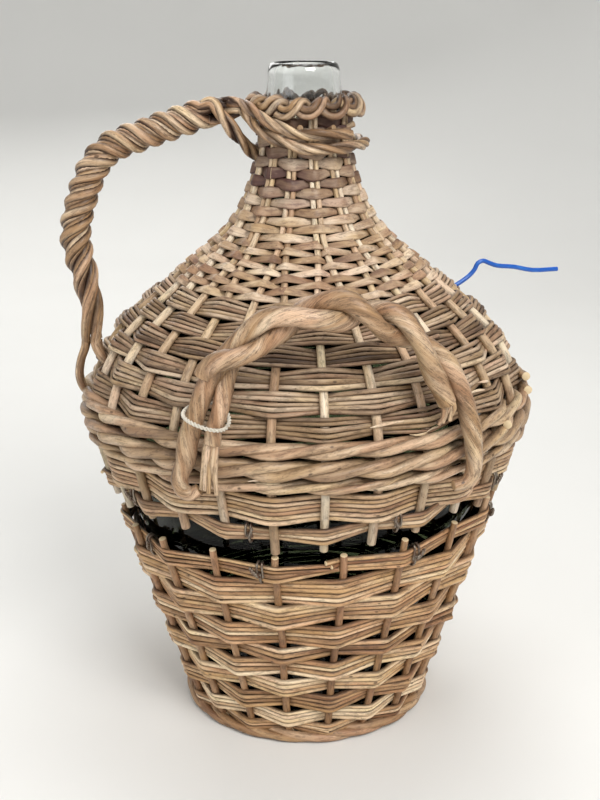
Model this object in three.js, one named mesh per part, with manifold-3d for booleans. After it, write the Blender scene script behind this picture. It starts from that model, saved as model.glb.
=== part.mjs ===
import * as THREE from 'three';
import { mergeVertices } from 'three/addons/utils/BufferGeometryUtils.js';
import Module from 'manifold-3d';

const wasm = await Module();
wasm.setup();

// Outer outline of the wicker in millimetres, foot to neck: each radius and its height above the one before
const FOOT_RADIUS = 93;
const BELLY_RADIUS = 121.5;
const BELLY_HEIGHT = 90;
const SEAM_RADIUS = 145.5;
const BELLY_TO_SEAM_HEIGHT = 79;
const WALE_RADIUS = 160;
const SEAM_TO_WALE_HEIGHT = 69;
const SHOULDER_RADIUS = 142.5;
const WALE_TO_SHOULDER_HEIGHT = 48;
const CONE_RADIUS = 95;
const SHOULDER_TO_CONE_HEIGHT = 44;
const THROAT_RADIUS = 53;
const CONE_TO_THROAT_HEIGHT = 36;
const NECK_RADIUS = 35.5;
const THROAT_TO_NECK_HEIGHT = 43;
const COLLAR_RADIUS = 34;
const NECK_TO_COLLAR_HEIGHT = 29;

// Willow rods, flat skeins and the play between them
const STAKE_RADIUS = 3;
const STAKE_TIP_RADIUS = 1.4;
const ROD_THICKNESS = 3.2;
const SKEIN_THICKNESS = 1.2;
const WALE_THICKNESS = 7;
const WEAVE_PLAY = 0.8;
const WALE_PLAY = 1.6;
const ROW_GAP = 0.8;
const PAIR_GAP = 0.5;
const PAIR_START = 6;

// Counts of the weave
const BASKET_STAKES = 20;
const COVER_STAKES = 28;
const COVER_QUARTERS = 4;
const BASKET_ROWS = 9;
const EDGE_ROWS = 3;
const WALE_RODS = 4;
const SHOULDER_ROWS = 6;
const CONE_TURNS = 9;
const COVER_TIES = 9;

// Turn of each half about the upright axis, measured from the front towards the right, in degrees
const BASKET_STAKE_ANGLE = -8.7;
const COVER_STAKE_ANGLE = 4.4;
const BASKET_TIE_ANGLES = [-54, -13, 31, 67, 108, 144, 180, 216, 252];

// The seam between the halves and its opening at the front
const RIM_DROP = 3;
const EDGE_RISE = 10;
const SEAM_OPENING = 4;
const SEAM_OPENING_HALF_ANGLE = 80;
const STAKE_END_RISE = 0.4;

// Borders and base
const FOOT_BORDER_SIZE = 13;
const NECK_BORDER_RADIUS = 39;
const NECK_BORDER_HEIGHT = 16;
const BASE_THICKNESS = 5.5;
const BASE_STICK = 5.5;
const BASE_STICKS = 8;
const SEAT_GAP = 0.3;
const BORDER_GAP = 0.4;

// Glass bottle
const GLASS_WALL = 3.5;
const GLASS_LIP_WALL = 5;
const GLASS_GAP = 1.4;
const GLASS_LIFT_PLAY = 2.1;
const GLASS_CORNER = 14;
const GLASS_NECK_STEP = 1;
const LIP_ROUND = 1.6;
const MOUTH_RADIUS = 24.6;
const COLLAR_TO_MOUTH_HEIGHT = 33;
const NECK_GLASS_RADIUS = 26.3;
const NECK_PLAY = 0.7;

// Lifting handles at the front and the rear
const LIFT_HANDLE_ANGLE = 6.5;
const LIFT_HANDLE_HALF_ANGLE = 30;
const LIFT_HANDLE_HEIGHT = 115;
const LIFT_HANDLE_LEAN = 11;
const LIFT_STRAND_RADIUS = 6;
const LIFT_HANDLE_TURNS = 2;
const LIFT_HANDLE_LEG = 0.36;
const HANDLE_PLAY = 0.5;
const STRAND_GAP = 0.6;

// Neck handle: its middle line in shares of the way out from its neck end and up from its foot
const NECK_HANDLE_ANGLE = -81;
const NECK_HANDLE_FOOT_DEPTH = 2;
const NECK_HANDLE_TOP_HEIGHT = 5;
const NECK_HANDLE_END_GAP = 21;
const NECK_HANDLE_ROUTE = [
  [1.188, 0.214], [1.285, 0.459], [1.2, 0.629], [0.982, 0.824], [0.57, 0.912], [0.194, 0.969],
];
const NECK_STRAND_RADIUS = 5;
const NECK_TAIL_RADIUS = 4;
const NECK_HANDLE_TURNS = 3;
const NECK_STRANDS = 3;
const TAIL_TOP_HEIGHT = 4;
const TAIL_DROP_HEIGHT = 14;
const TAIL_GAP = 2.4;
const UPPER_TAIL_ANGLE = 120;
const LOWER_TAIL_ANGLE = 300;
const TAIL_TUCK_START_ANGLE = 40;
const TAIL_TUCK_END_ANGLE = 90;

// Wire ties, string and the coated wire
const TIE_WIRE_RADIUS = 0.8;
const TIE_PLAY = 0.4;
const TIE_TAIL = 6;
const TIE_TAIL_SPREAD = 1.3;
const STRING_RADIUS = 0.9;
const STRING_PLAY = 0.5;
const STRING_PLACE = 0.5;
const COATED_WIRE_RADIUS = 1.7;
const COATED_WIRE_ANGLE = 95;
const COATED_WIRE_HEIGHT = 14;
const COATED_WIRE_BEND_LENGTH = 18;
const COATED_WIRE_LENGTH = 84;
const COATED_WIRE_SAG = 2;

// Finishes
const straw = { color: 0xc49c66, roughness: 0.62, metalness: 0 };
const greyWillow = { color: 0xa5845f, roughness: 0.66, metalness: 0 };
const darkSkein = { color: 0x8a6a52, roughness: 0.6, metalness: 0 };
const creamStake = { color: 0xd9c39c, roughness: 0.6, metalness: 0 };
const handleWillow = { color: 0xb48d60, roughness: 0.6, metalness: 0 };
const clearGlass = { color: 0x9fb0a6, roughness: 0.05, metalness: 0 };
const steelWire = { color: 0x8e8a84, roughness: 0.4, metalness: 0.9 };
const whiteString = { color: 0xe8e4da, roughness: 0.9, metalness: 0 };
const blueCoating = { color: 0x2a5fb4, roughness: 0.4, metalness: 0 };

// Heights above the floor
const seamHeight = BELLY_HEIGHT + BELLY_TO_SEAM_HEIGHT;
const waleHeight = seamHeight + SEAM_TO_WALE_HEIGHT;
const shoulderHeight = waleHeight + WALE_TO_SHOULDER_HEIGHT;
const coneHeight = shoulderHeight + SHOULDER_TO_CONE_HEIGHT;
const throatHeight = coneHeight + CONE_TO_THROAT_HEIGHT;
const neckHeight = throatHeight + THROAT_TO_NECK_HEIGHT;
const collarHeight = neckHeight + NECK_TO_COLLAR_HEIGHT;
const mouthHeight = collarHeight + COLLAR_TO_MOUTH_HEIGHT;

const part = new THREE.Group();

function radians(degrees) {
  return (degrees * Math.PI) / 180;
}

function smooth(value, low, high) {
  return THREE.MathUtils.smoothstep(value, low, high);
}

// A point at an angle from the front, a radius and a height
function around(angle, radius, height) {
  return new THREE.Vector3(radius * Math.sin(angle), -radius * Math.cos(angle), height);
}

function place(name, geometry, finish) {
  const mesh = new THREE.Mesh(geometry, new THREE.MeshStandardMaterial(finish));
  mesh.name = name;
  part.add(mesh);
}

// A closed body through rings of points, with flat ends or joined end to start
function loft(rings, closed) {
  const sides = rings[0].length;
  const positions = rings.flat().flatMap((point) => [point.x, point.y, point.z]);
  const faces = [];
  const spans = closed ? rings.length : rings.length - 1;
  for (let ring = 0; ring < spans; ring += 1) {
    const here = ring * sides;
    const there = ((ring + 1) % rings.length) * sides;
    for (let side = 0; side < sides; side += 1) {
      const next = (side + 1) % sides;
      faces.push(here + side, here + next, there + next);
      faces.push(here + side, there + next, there + side);
    }
  }
  if (!closed) {
    const last = (rings.length - 1) * sides;
    for (let side = 1; side < sides - 1; side += 1) {
      faces.push(0, side + 1, side);
      faces.push(last, last + side, last + side + 1);
    }
  }
  return facingOut(positions, faces);
}

// Turns all faces outward by the sign of the enclosed volume
function facingOut(positions, faces) {
  const a = new THREE.Vector3();
  const b = new THREE.Vector3();
  const c = new THREE.Vector3();
  let volume = 0;
  for (let index = 0; index < faces.length; index += 3) {
    a.fromArray(positions, faces[index] * 3);
    b.fromArray(positions, faces[index + 1] * 3);
    c.fromArray(positions, faces[index + 2] * 3);
    volume += a.dot(b.cross(c));
  }
  const geometry = new THREE.BufferGeometry();
  geometry.setAttribute('position', new THREE.Float32BufferAttribute(positions, 3));
  geometry.setIndex(volume > 0 ? faces : faces.toReversed());
  return geometry;
}

// A round rod along points, its radius a number or one for each point
function rod(points, radius, sides) {
  const rings = [];
  let normal = null;
  for (let index = 0; index < points.length; index += 1) {
    const before = points[Math.max(index - 1, 0)];
    const after = points[Math.min(index + 1, points.length - 1)];
    const along = after.clone().sub(before).normalize();
    if (normal === null) {
      normal = Math.abs(along.z) > 0.9 ? new THREE.Vector3(1, 0, 0) : new THREE.Vector3(0, 0, 1);
    }
    normal = normal.clone().addScaledVector(along, -normal.dot(along)).normalize();
    const side = along.clone().cross(normal);
    const size = Array.isArray(radius) ? radius[index] : radius;
    const ring = [];
    for (let step = 0; step < sides; step += 1) {
      const turn = (step / sides) * 2 * Math.PI;
      const corner = points[index].clone().addScaledVector(normal, size * Math.cos(turn));
      ring.push(corner.addScaledVector(side, size * Math.sin(turn)));
    }
    rings.push(ring);
  }
  return loft(rings, false);
}

function toSolid(geometry) {
  const bare = new THREE.BufferGeometry();
  bare.setAttribute('position', geometry.getAttribute('position').clone());
  if (geometry.getIndex() !== null) {
    bare.setIndex(geometry.getIndex().clone());
  }
  const merged = mergeVertices(bare, 1e-4);
  const vertProperties = Float32Array.from(merged.getAttribute('position').array);
  const triVerts = Uint32Array.from(merged.getIndex().array);
  return new wasm.Manifold(new wasm.Mesh({ numProp: 3, vertProperties, triVerts }));
}

// Joins overlapping pieces of one body
function joined(geometries) {
  let body = toSolid(geometries[0]);
  for (const geometry of geometries.slice(1)) {
    body = body.add(toSolid(geometry));
  }
  const mesh = body.getMesh();
  const geometry = new THREE.BufferGeometry();
  const positions = [];
  for (let vertex = 0; vertex < mesh.vertProperties.length; vertex += mesh.numProp) {
    positions.push(...mesh.vertProperties.subarray(vertex, vertex + 3));
  }
  geometry.setAttribute('position', new THREE.Float32BufferAttribute(positions, 3));
  geometry.setIndex(Array.from(mesh.triVerts));
  return geometry;
}

// A border's section: a block with its long edges taken off
function borderSection(inner, outer, bottom, top, angle) {
  const across = outer - inner;
  const high = top - bottom;
  const cut = 0.29;
  const corners = [
    [inner + cut * across, bottom],
    [outer - cut * across, bottom],
    [outer, bottom + cut * high],
    [outer, top - cut * high],
    [outer - cut * across, top],
    [inner + cut * across, top],
    [inner, top - cut * high],
    [inner, bottom + cut * high],
  ];
  return corners.map(([radius, height]) => around(angle, radius, height));
}

function borderRing(inner, outer, bottom, top, segments) {
  const rings = [];
  for (let segment = 0; segment < segments; segment += 1) {
    rings.push(borderSection(inner, outer, bottom, top, (segment / segments) * 2 * Math.PI));
  }
  return loft(rings, true);
}

function borderArc(inner, outer, bottom, top, from, to, segments) {
  const rings = [];
  for (let segment = 0; segment <= segments; segment += 1) {
    const angle = THREE.MathUtils.lerp(from, to, segment / segments);
    rings.push(borderSection(inner, outer, bottom, top, angle));
  }
  return loft(rings, false);
}

// The wicker wall: lengths along its outline, and the middle surface that the stakes follow
const outline = new THREE.CatmullRomCurve3(
  [
    [FOOT_RADIUS, 0],
    [BELLY_RADIUS, BELLY_HEIGHT],
    [SEAM_RADIUS, seamHeight],
    [WALE_RADIUS, waleHeight],
    [SHOULDER_RADIUS, shoulderHeight],
    [CONE_RADIUS, coneHeight],
    [THROAT_RADIUS, throatHeight],
    [NECK_RADIUS, neckHeight],
    [COLLAR_RADIUS, collarHeight],
  ].map(([radius, height]) => new THREE.Vector3(radius, 0, height)),
  false,
  'centripetal',
);
outline.arcLengthDivisions = 600;
const outlineLength = outline.getLength();

function wallFrame(length) {
  const share = THREE.MathUtils.clamp(length / outlineLength, 0, 1);
  const point = outline.getPointAt(share);
  const along = outline.getTangentAt(share);
  return { radius: point.x, height: point.z, outR: along.z, outZ: -along.x };
}

function lengthAtHeight(height) {
  let low = 0;
  let high = outlineLength;
  for (let step = 0; step < 40; step += 1) {
    const middle = (low + high) / 2;
    if (wallFrame(middle).height < height) {
      low = middle;
    } else {
      high = middle;
    }
  }
  return (low + high) / 2;
}

function stakeRadius(height) {
  const share = THREE.MathUtils.clamp((height - shoulderHeight) / (neckHeight - shoulderHeight), 0, 1);
  return THREE.MathUtils.lerp(STAKE_RADIUS, STAKE_TIP_RADIUS, share);
}

function halfWall(height) {
  const share = smooth(height, coneHeight, throatHeight);
  return stakeRadius(height) + WEAVE_PLAY + THREE.MathUtils.lerp(ROD_THICKNESS, SKEIN_THICKNESS, share);
}

function wallPoint(length, offset, angle) {
  const frame = wallFrame(length);
  const shift = offset - halfWall(frame.height);
  return around(angle, frame.radius + frame.outR * shift, frame.height + frame.outZ * shift);
}

function wallRadius(length, offset) {
  const point = wallPoint(length, offset, 0);
  return -point.y;
}

// Stakes of the cover draw together in pairs above the shoulder
function coverStakeAngle(stake, length) {
  const pair = Math.floor(stake / 2);
  const pairAngle = radians(COVER_STAKE_ANGLE) + ((2 * pair + 0.5) / COVER_STAKES) * 2 * Math.PI;
  const side = stake % 2 === 0 ? -1 : 1;
  return pairAngle + side * pairHalfAngle(length);
}

function pairHalfAngle(length) {
  const height = wallFrame(length).height;
  const radius = wallRadius(length, 0);
  const apart = (2 * Math.PI * radius) / COVER_STAKES;
  const close = 2 * stakeRadius(height) + PAIR_GAP;
  const share = smooth(height, coneHeight - PAIR_START, throatHeight);
  return THREE.MathUtils.lerp(apart, close, share) / (2 * radius);
}

function basketStakeAngle(stake) {
  return radians(BASKET_STAKE_ANGLE) + (stake / BASKET_STAKES) * 2 * Math.PI;
}

// How far the seam stands open at an angle, from 0 to 1
function seamShare(angle) {
  const turn = Math.atan2(Math.sin(angle), Math.cos(angle));
  const share = Math.max(0, Math.cos((turn / radians(SEAM_OPENING_HALF_ANGLE)) * (Math.PI / 2)));
  return Math.abs(turn) < radians(SEAM_OPENING_HALF_ANGLE) ? share * share : 0;
}

const footTop = lengthAtHeight(FOOT_BORDER_SIZE + BORDER_GAP);
const rimTop = lengthAtHeight(seamHeight - RIM_DROP);
const edgeBottom = lengthAtHeight(seamHeight + EDGE_RISE);
const waleSpan = WALE_RODS * (WALE_THICKNESS + ROW_GAP);
const waleBottom = lengthAtHeight(waleHeight) - waleSpan / 2;
const waleTop = waleBottom + waleSpan;
const coneBottom = lengthAtHeight(coneHeight);
const coneTop = lengthAtHeight(collarHeight) - BORDER_GAP;
const tieGap = 2 * TIE_WIRE_RADIUS + 4 * TIE_PLAY;

// The edge of the cover is pushed up where the seam stands open
function lifted(length, angle) {
  const share = THREE.MathUtils.clamp((waleBottom - length) / (waleBottom - edgeBottom), 0, 1);
  return length + SEAM_OPENING * seamShare(angle) * share;
}

function unlifted(length) {
  return length;
}

// One woven ring: four corners at each stake, in front of it or behind it
function wovenRow(row) {
  const rings = row.offsets.map((offset, stake) => {
    const angle = row.angles[stake];
    const low = row.lift(row.low, angle);
    const high = row.lift(row.high, angle);
    const half = row.thickness / 2;
    return [
      wallPoint(low, offset - half, angle),
      wallPoint(low, offset + half, angle),
      wallPoint(high, offset + half, angle),
      wallPoint(high, offset - half, angle),
    ];
  });
  return { ...row, rings, geometry: loft(rings, true) };
}

function plainOffsets(count, phase, reach) {
  return Array.from({ length: count }, (unused, stake) => ((stake + phase) % 2 === 0 ? reach : -reach));
}

function rowReach(length, thickness, play) {
  return stakeRadius(wallFrame(length).height) + play + thickness / 2;
}

// Evenly shared rows between two lengths, with a wider gap beside the row that is tied
function rowSpans(from, to, count, wideGapAfter) {
  const gaps = (count - 1) * ROW_GAP + (wideGapAfter === null ? 0 : tieGap - ROW_GAP);
  const high = (to - from - gaps) / count;
  const spans = [];
  let low = from;
  for (let row = 0; row < count; row += 1) {
    spans.push([low, low + high]);
    low += high + (row === wideGapAfter ? tieGap : ROW_GAP);
  }
  return spans;
}

// Lower basket rows
const basketRows = rowSpans(footTop, rimTop, BASKET_ROWS, BASKET_ROWS - 2).map(([low, high], index) =>
  wovenRow({
    low,
    high,
    lift: unlifted,
    thickness: ROD_THICKNESS,
    angles: Array.from({ length: BASKET_STAKES }, (unused, stake) => basketStakeAngle(stake)),
    offsets: plainOffsets(BASKET_STAKES, index, rowReach(low, ROD_THICKNESS, WEAVE_PLAY)),
  }),
);
basketRows.forEach((row, index) => place(`basket_row_${index + 1}`, row.geometry, straw));

// Cover rows below the wale and on the shoulder
function coverRow(low, high, index, lift) {
  const middle = (low + high) / 2;
  return wovenRow({
    low,
    high,
    lift,
    thickness: ROD_THICKNESS,
    angles: Array.from({ length: COVER_STAKES }, (unused, stake) => coverStakeAngle(stake, middle)),
    offsets: plainOffsets(COVER_STAKES, index, rowReach(low, ROD_THICKNESS, WEAVE_PLAY)),
  });
}

const edgeRows = rowSpans(edgeBottom, waleBottom - ROW_GAP, EDGE_ROWS, 0).map(([low, high], index) =>
  coverRow(low, high, index, lifted),
);
edgeRows.forEach((row, index) => place(`edge_row_${index + 1}`, row.geometry, greyWillow));

const shoulderRows = rowSpans(waleTop, coneBottom - ROW_GAP, SHOULDER_ROWS, null).map(([low, high], index) =>
  coverRow(low, high, index, unlifted),
);
shoulderRows.forEach((row, index) => place(`shoulder_row_${index + 1}`, row.geometry, greyWillow));

// The wale: each rod passes before three stakes and behind one, a stake later than the rod below
const waleReach = rowReach(waleBottom, WALE_THICKNESS, WALE_PLAY) + WALE_THICKNESS / 2;
for (let index = 0; index < WALE_RODS; index += 1) {
  const low = waleBottom + index * (WALE_THICKNESS + ROW_GAP);
  const reach = rowReach(low, WALE_THICKNESS, WALE_PLAY);
  const wale = wovenRow({
    low,
    high: low + WALE_THICKNESS,
    lift: unlifted,
    thickness: WALE_THICKNESS,
    angles: Array.from({ length: COVER_STAKES }, (unused, stake) => coverStakeAngle(stake, low)),
    offsets: Array.from({ length: COVER_STAKES }, (unused, stake) =>
      (stake + index) % WALE_RODS === 0 ? -reach : reach,
    ),
  });
  place(`wale_rod_${index + 1}`, wale.geometry, handleWillow);
}

// The neck cone: one flat skein that climbs round the paired stakes
const conePitch = (coneTop - coneBottom) / (CONE_TURNS + 1);
const conePairs = COVER_STAKES / 2;
const coneRings = [];
for (let turn = 0; turn < CONE_TURNS; turn += 1) {
  for (let pair = 0; pair < conePairs; pair += 1) {
    const low = coneBottom + conePitch * (turn + pair / conePairs);
    const high = low + conePitch - ROW_GAP;
    const middle = (low + high) / 2;
    const height = wallFrame(middle).height;
    const reach = rowReach(low, SKEIN_THICKNESS, WEAVE_PLAY);
    const offset = (pair + turn) % 2 === 0 ? reach : -reach;
    const half = pairHalfAngle(middle) + stakeRadius(height) / wallRadius(middle, 0);
    const pairAngle = radians(COVER_STAKE_ANGLE) + ((2 * pair + 0.5) / COVER_STAKES) * 2 * Math.PI;
    for (const angle of [pairAngle - half, pairAngle + half]) {
      coneRings.push([
        wallPoint(low, offset - SKEIN_THICKNESS / 2, angle),
        wallPoint(low, offset + SKEIN_THICKNESS / 2, angle),
        wallPoint(high, offset + SKEIN_THICKNESS / 2, angle),
        wallPoint(high, offset - SKEIN_THICKNESS / 2, angle),
      ]);
    }
  }
}
place('cone_weave', loft(coneRings, false), darkSkein);

// Stakes, each half joined by the border that its stake ends are turned into
function stakeRod(lengths, angleAt, topHeight) {
  const points = lengths.map((length) => wallPoint(length, 0, angleAt(length)));
  const sizes = lengths.map((length) => stakeRadius(wallFrame(length).height));
  points[points.length - 1].setZ(topHeight);
  return rod(points, sizes, 4);
}

function lengthsBetween(from, to, count) {
  return Array.from({ length: count }, (unused, step) => THREE.MathUtils.lerp(from, to, step / (count - 1)));
}

const footInner = FOOT_RADIUS - FOOT_BORDER_SIZE;
const basketFrame = [borderRing(footInner, FOOT_RADIUS, 0, FOOT_BORDER_SIZE, 32)];
for (let index = 0; index < BASKET_STAKES; index += 1) {
  const angle = basketStakeAngle(index);
  const top = seamHeight - STAKE_END_RISE + (SEAM_OPENING / 2) * seamShare(angle);
  const lengths = lengthsBetween(lengthAtHeight(FOOT_BORDER_SIZE / 2), lengthAtHeight(top), 5);
  basketFrame.push(stakeRod(lengths, () => angle, top));
}
place('basket_stakes', joined(basketFrame), straw);

const neckBorderTop = collarHeight + NECK_BORDER_HEIGHT;
const neckBore = NECK_GLASS_RADIUS + NECK_PLAY;
const quarterStakes = COVER_STAKES / COVER_QUARTERS;

function coverStake(index) {
  const angle = coverStakeAngle(index, edgeBottom);
  const start = lengthAtHeight(seamHeight + STAKE_END_RISE) + (SEAM_OPENING / 2) * seamShare(angle);
  const lengths = [
    ...lengthsBetween(start, waleBottom, 3),
    ...lengthsBetween(waleBottom, waleTop, 3).slice(1),
    ...lengthsBetween(waleTop, coneBottom, 5).slice(1),
    ...lengthsBetween(coneBottom, outlineLength, 8).slice(1),
  ];
  const angleAt = (length) => coverStakeAngle(index, length);
  return stakeRod(lengths, angleAt, collarHeight + NECK_BORDER_HEIGHT / 2);
}

// Half way between a stake and the one before it, at the border
function quarterAngle(quarter) {
  const stake = quarter * quarterStakes;
  return (coverStakeAngle(stake - 1, outlineLength) + coverStakeAngle(stake, outlineLength)) / 2;
}

for (let quarter = 0; quarter < COVER_QUARTERS; quarter += 1) {
  const from = quarterAngle(quarter) + BORDER_GAP / 2 / neckBore;
  const to = quarterAngle(quarter + 1) - BORDER_GAP / 2 / neckBore;
  const frame = [borderArc(neckBore, NECK_BORDER_RADIUS, collarHeight, neckBorderTop, from, to, 6)];
  for (let stake = 0; stake < quarterStakes; stake += 1) {
    frame.push(coverStake(quarter * quarterStakes + stake));
  }
  place(`cover_stakes_${quarter + 1}`, joined(frame), creamStake);
}

// Base: a woven disc with the crossed sticks lying on it
const baseRadius = footInner - BORDER_GAP;
const baseProfile = [
  [0, 0],
  [baseRadius, 0],
  [baseRadius, BASE_THICKNESS],
  [0, BASE_THICKNESS],
].map(([radius, height]) => new THREE.Vector2(radius, height));
place('base_weave', new THREE.LatheGeometry(baseProfile, 40).rotateX(Math.PI / 2), straw);

const stickBottom = BASE_THICKNESS + SEAT_GAP;
const sticks = [];
for (let index = 0; index < BASE_STICKS; index += 1) {
  const angle = (index / BASE_STICKS) * Math.PI;
  const stick = new THREE.BoxGeometry(2 * baseRadius, BASE_STICK, BASE_STICK);
  stick.rotateZ(angle);
  stick.translate(0, 0, stickBottom + BASE_STICK / 2);
  sticks.push(stick);
}
place('base_sticks', joined(sticks), straw);

// Glass bottle: it fills the wicker, stays narrow enough for the cover to lift off, and is open at the mouth
const glassBottom = stickBottom + BASE_STICK + SEAT_GAP;
const coverEdgeRadius = wallRadius(edgeBottom, -halfWall(seamHeight));
const waleInner = wallRadius(lengthAtHeight(waleHeight), -waleReach);
const glassMost = Math.min(coverEdgeRadius, waleInner) - GLASS_LIFT_PLAY;

function glassPoint(length, wall) {
  const height = wallFrame(length).height;
  const point = wallPoint(length, -halfWall(height) - GLASS_GAP - wall, 0);
  return new THREE.Vector2(Math.min(-point.y, glassMost - wall), point.z);
}

function glassProfile(wall, neckRadius) {
  const lengths = [
    ...lengthsBetween(lengthAtHeight(glassBottom + GLASS_CORNER), coneBottom, 10),
    ...lengthsBetween(coneBottom, outlineLength, 11).slice(1),
  ];
  const points = lengths
    .map((length) => glassPoint(length, wall))
    .filter((point) => point.x > neckRadius + GLASS_NECK_STEP)
    .filter((point) => point.y > glassBottom + GLASS_CORNER + wall / 2);
  const foot = points[0].clone();
  const corner = [
    new THREE.Vector2(foot.x - GLASS_CORNER * 0.9, glassBottom + wall),
    new THREE.Vector2(foot.x - GLASS_CORNER * 0.28, glassBottom + wall + GLASS_CORNER * 0.26),
  ];
  return [...corner, ...points];
}

const outerGlass = glassProfile(0, NECK_GLASS_RADIUS);
const innerGlass = glassProfile(GLASS_WALL, NECK_GLASS_RADIUS - GLASS_LIP_WALL);
const bore = MOUTH_RADIUS - GLASS_LIP_WALL;
const bottleProfile = [
  new THREE.Vector2(0, glassBottom),
  ...outerGlass,
  new THREE.Vector2(NECK_GLASS_RADIUS, neckHeight),
  new THREE.Vector2(NECK_GLASS_RADIUS, neckBorderTop),
  new THREE.Vector2(MOUTH_RADIUS, mouthHeight - LIP_ROUND),
  new THREE.Vector2(MOUTH_RADIUS - LIP_ROUND, mouthHeight),
  new THREE.Vector2(bore + LIP_ROUND, mouthHeight),
  new THREE.Vector2(bore, mouthHeight - LIP_ROUND),
  new THREE.Vector2(NECK_GLASS_RADIUS - GLASS_LIP_WALL, neckHeight),
  ...innerGlass.toReversed(),
  new THREE.Vector2(0, glassBottom + GLASS_WALL),
];
place('glass_bottle', new THREE.LatheGeometry(bottleProfile, 26).rotateX(Math.PI / 2), clearGlass);

// Lifting handles: two strands lie flat over the wale and twist about each other above it
const waleOuter = wallRadius(lengthAtHeight(waleHeight), waleReach);
const legReach = waleOuter + HANDLE_PLAY + LIFT_STRAND_RADIUS;
const legBottom = wallFrame(waleBottom).height;

function liftHandleCentre(turn, centreAngle) {
  const angle = centreAngle - radians(LIFT_HANDLE_HALF_ANGLE) * Math.cos(turn);
  const rise = Math.sin(turn);
  const reach = THREE.MathUtils.lerp(legReach, legReach - LIFT_HANDLE_LEAN, rise * rise);
  return around(angle, reach, legBottom + LIFT_HANDLE_HEIGHT * rise);
}

function liftHandleFrame(turn, centreAngle) {
  const step = 1e-3;
  const point = liftHandleCentre(turn, centreAngle);
  const ahead = liftHandleCentre(turn + step, centreAngle);
  const along = ahead.sub(liftHandleCentre(turn - step, centreAngle)).normalize();
  const out = new THREE.Vector3(point.x, point.y, 0).normalize();
  const across = along.clone().cross(out).normalize();
  return { point, across, out: across.clone().cross(along) };
}

function liftHandleStrand(centreAngle, strand) {
  const points = [];
  const steps = 32;
  const apart = LIFT_STRAND_RADIUS + STRAND_GAP / 2;
  for (let step = 0; step <= steps; step += 1) {
    const turn = (step / steps) * Math.PI;
    const frame = liftHandleFrame(turn, centreAngle);
    const twist = smooth(turn, LIFT_HANDLE_LEG, Math.PI - LIFT_HANDLE_LEG) * LIFT_HANDLE_TURNS + strand / 2;
    const lay = twist * 2 * Math.PI;
    frame.point.addScaledVector(frame.across, apart * Math.cos(lay));
    points.push(frame.point.addScaledVector(frame.out, apart * Math.sin(lay)));
  }
  return rod(points, LIFT_STRAND_RADIUS, 6);
}

const handleAngles = { front: radians(LIFT_HANDLE_ANGLE), rear: radians(LIFT_HANDLE_ANGLE) + Math.PI };
for (const [side, angle] of Object.entries(handleAngles)) {
  for (let strand = 0; strand < 2; strand += 1) {
    place(`${side}_handle_strand_${strand + 1}`, liftHandleStrand(angle, strand), handleWillow);
  }
}

// A loop of string round one leg of the front handle
const stringFrame = liftHandleFrame(STRING_PLACE, handleAngles.front);
const stringReach = 2 * LIFT_STRAND_RADIUS + STRAND_GAP / 2 + STRING_PLAY + STRING_RADIUS;
const stringPoints = [];
const stringSteps = 18;
const stringTurn = 2 * Math.PI - (2 * STRING_RADIUS) / stringReach;
for (let step = 0; step <= stringSteps; step += 1) {
  const turn = (step / stringSteps) * stringTurn;
  const point = stringFrame.point.clone().addScaledVector(stringFrame.across, stringReach * Math.cos(turn));
  stringPoints.push(point.addScaledVector(stringFrame.out, stringReach * Math.sin(turn)));
}
place('string_loop', rod(stringPoints, STRING_RADIUS, 5), whiteString);

// Neck handle: three strands twist from the shoulder to the neck, where two tails wrap the collar
const handleAngle = radians(NECK_HANDLE_ANGLE);
const ropeLay = (2 * NECK_STRAND_RADIUS + STRAND_GAP) / Math.sqrt(3);
const ropeRadius = ropeLay + NECK_STRAND_RADIUS;
const neckHandleFoot = shoulderHeight - NECK_HANDLE_FOOT_DEPTH;
const neckHandleTop = collarHeight + NECK_HANDLE_TOP_HEIGHT;
const neckHandleEnd = NECK_BORDER_RADIUS + NECK_HANDLE_END_GAP;
const footReach = wallRadius(lengthAtHeight(neckHandleFoot), halfWall(neckHandleFoot));
const neckRoute = new THREE.CatmullRomCurve3(
  [
    [footReach + ropeRadius + HANDLE_PLAY, neckHandleFoot],
    ...NECK_HANDLE_ROUTE.map(([out, up]) => [
      THREE.MathUtils.lerp(neckHandleEnd, SHOULDER_RADIUS, out),
      THREE.MathUtils.lerp(neckHandleFoot, neckHandleTop, up),
    ]),
    [neckHandleEnd, neckHandleTop],
  ].map(([reach, height]) => around(handleAngle, reach, height)),
  false,
  'centripetal',
);
const collarReach = Math.max(NECK_RADIUS, COLLAR_RADIUS) + HANDLE_PLAY + NECK_TAIL_RADIUS;
const borderReach = NECK_BORDER_RADIUS + HANDLE_PLAY + NECK_TAIL_RADIUS;

// A tail runs round the collar towards the front and sinks from the border to the narrow neck
function neckTail(span, firstHeight, points, sizes) {
  const steps = Math.round(span / 15);
  for (let step = 1; step <= steps; step += 1) {
    const turn = (step / steps) * span;
    const drop = TAIL_DROP_HEIGHT * smooth(turn, 0, UPPER_TAIL_ANGLE);
    const tuck = smooth(turn, TAIL_TUCK_START_ANGLE, TAIL_TUCK_END_ANGLE);
    const reach = THREE.MathUtils.lerp(borderReach, collarReach, tuck);
    points.push(around(handleAngle + radians(turn), reach, firstHeight - drop));
    sizes.push(NECK_TAIL_RADIUS);
  }
}

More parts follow.
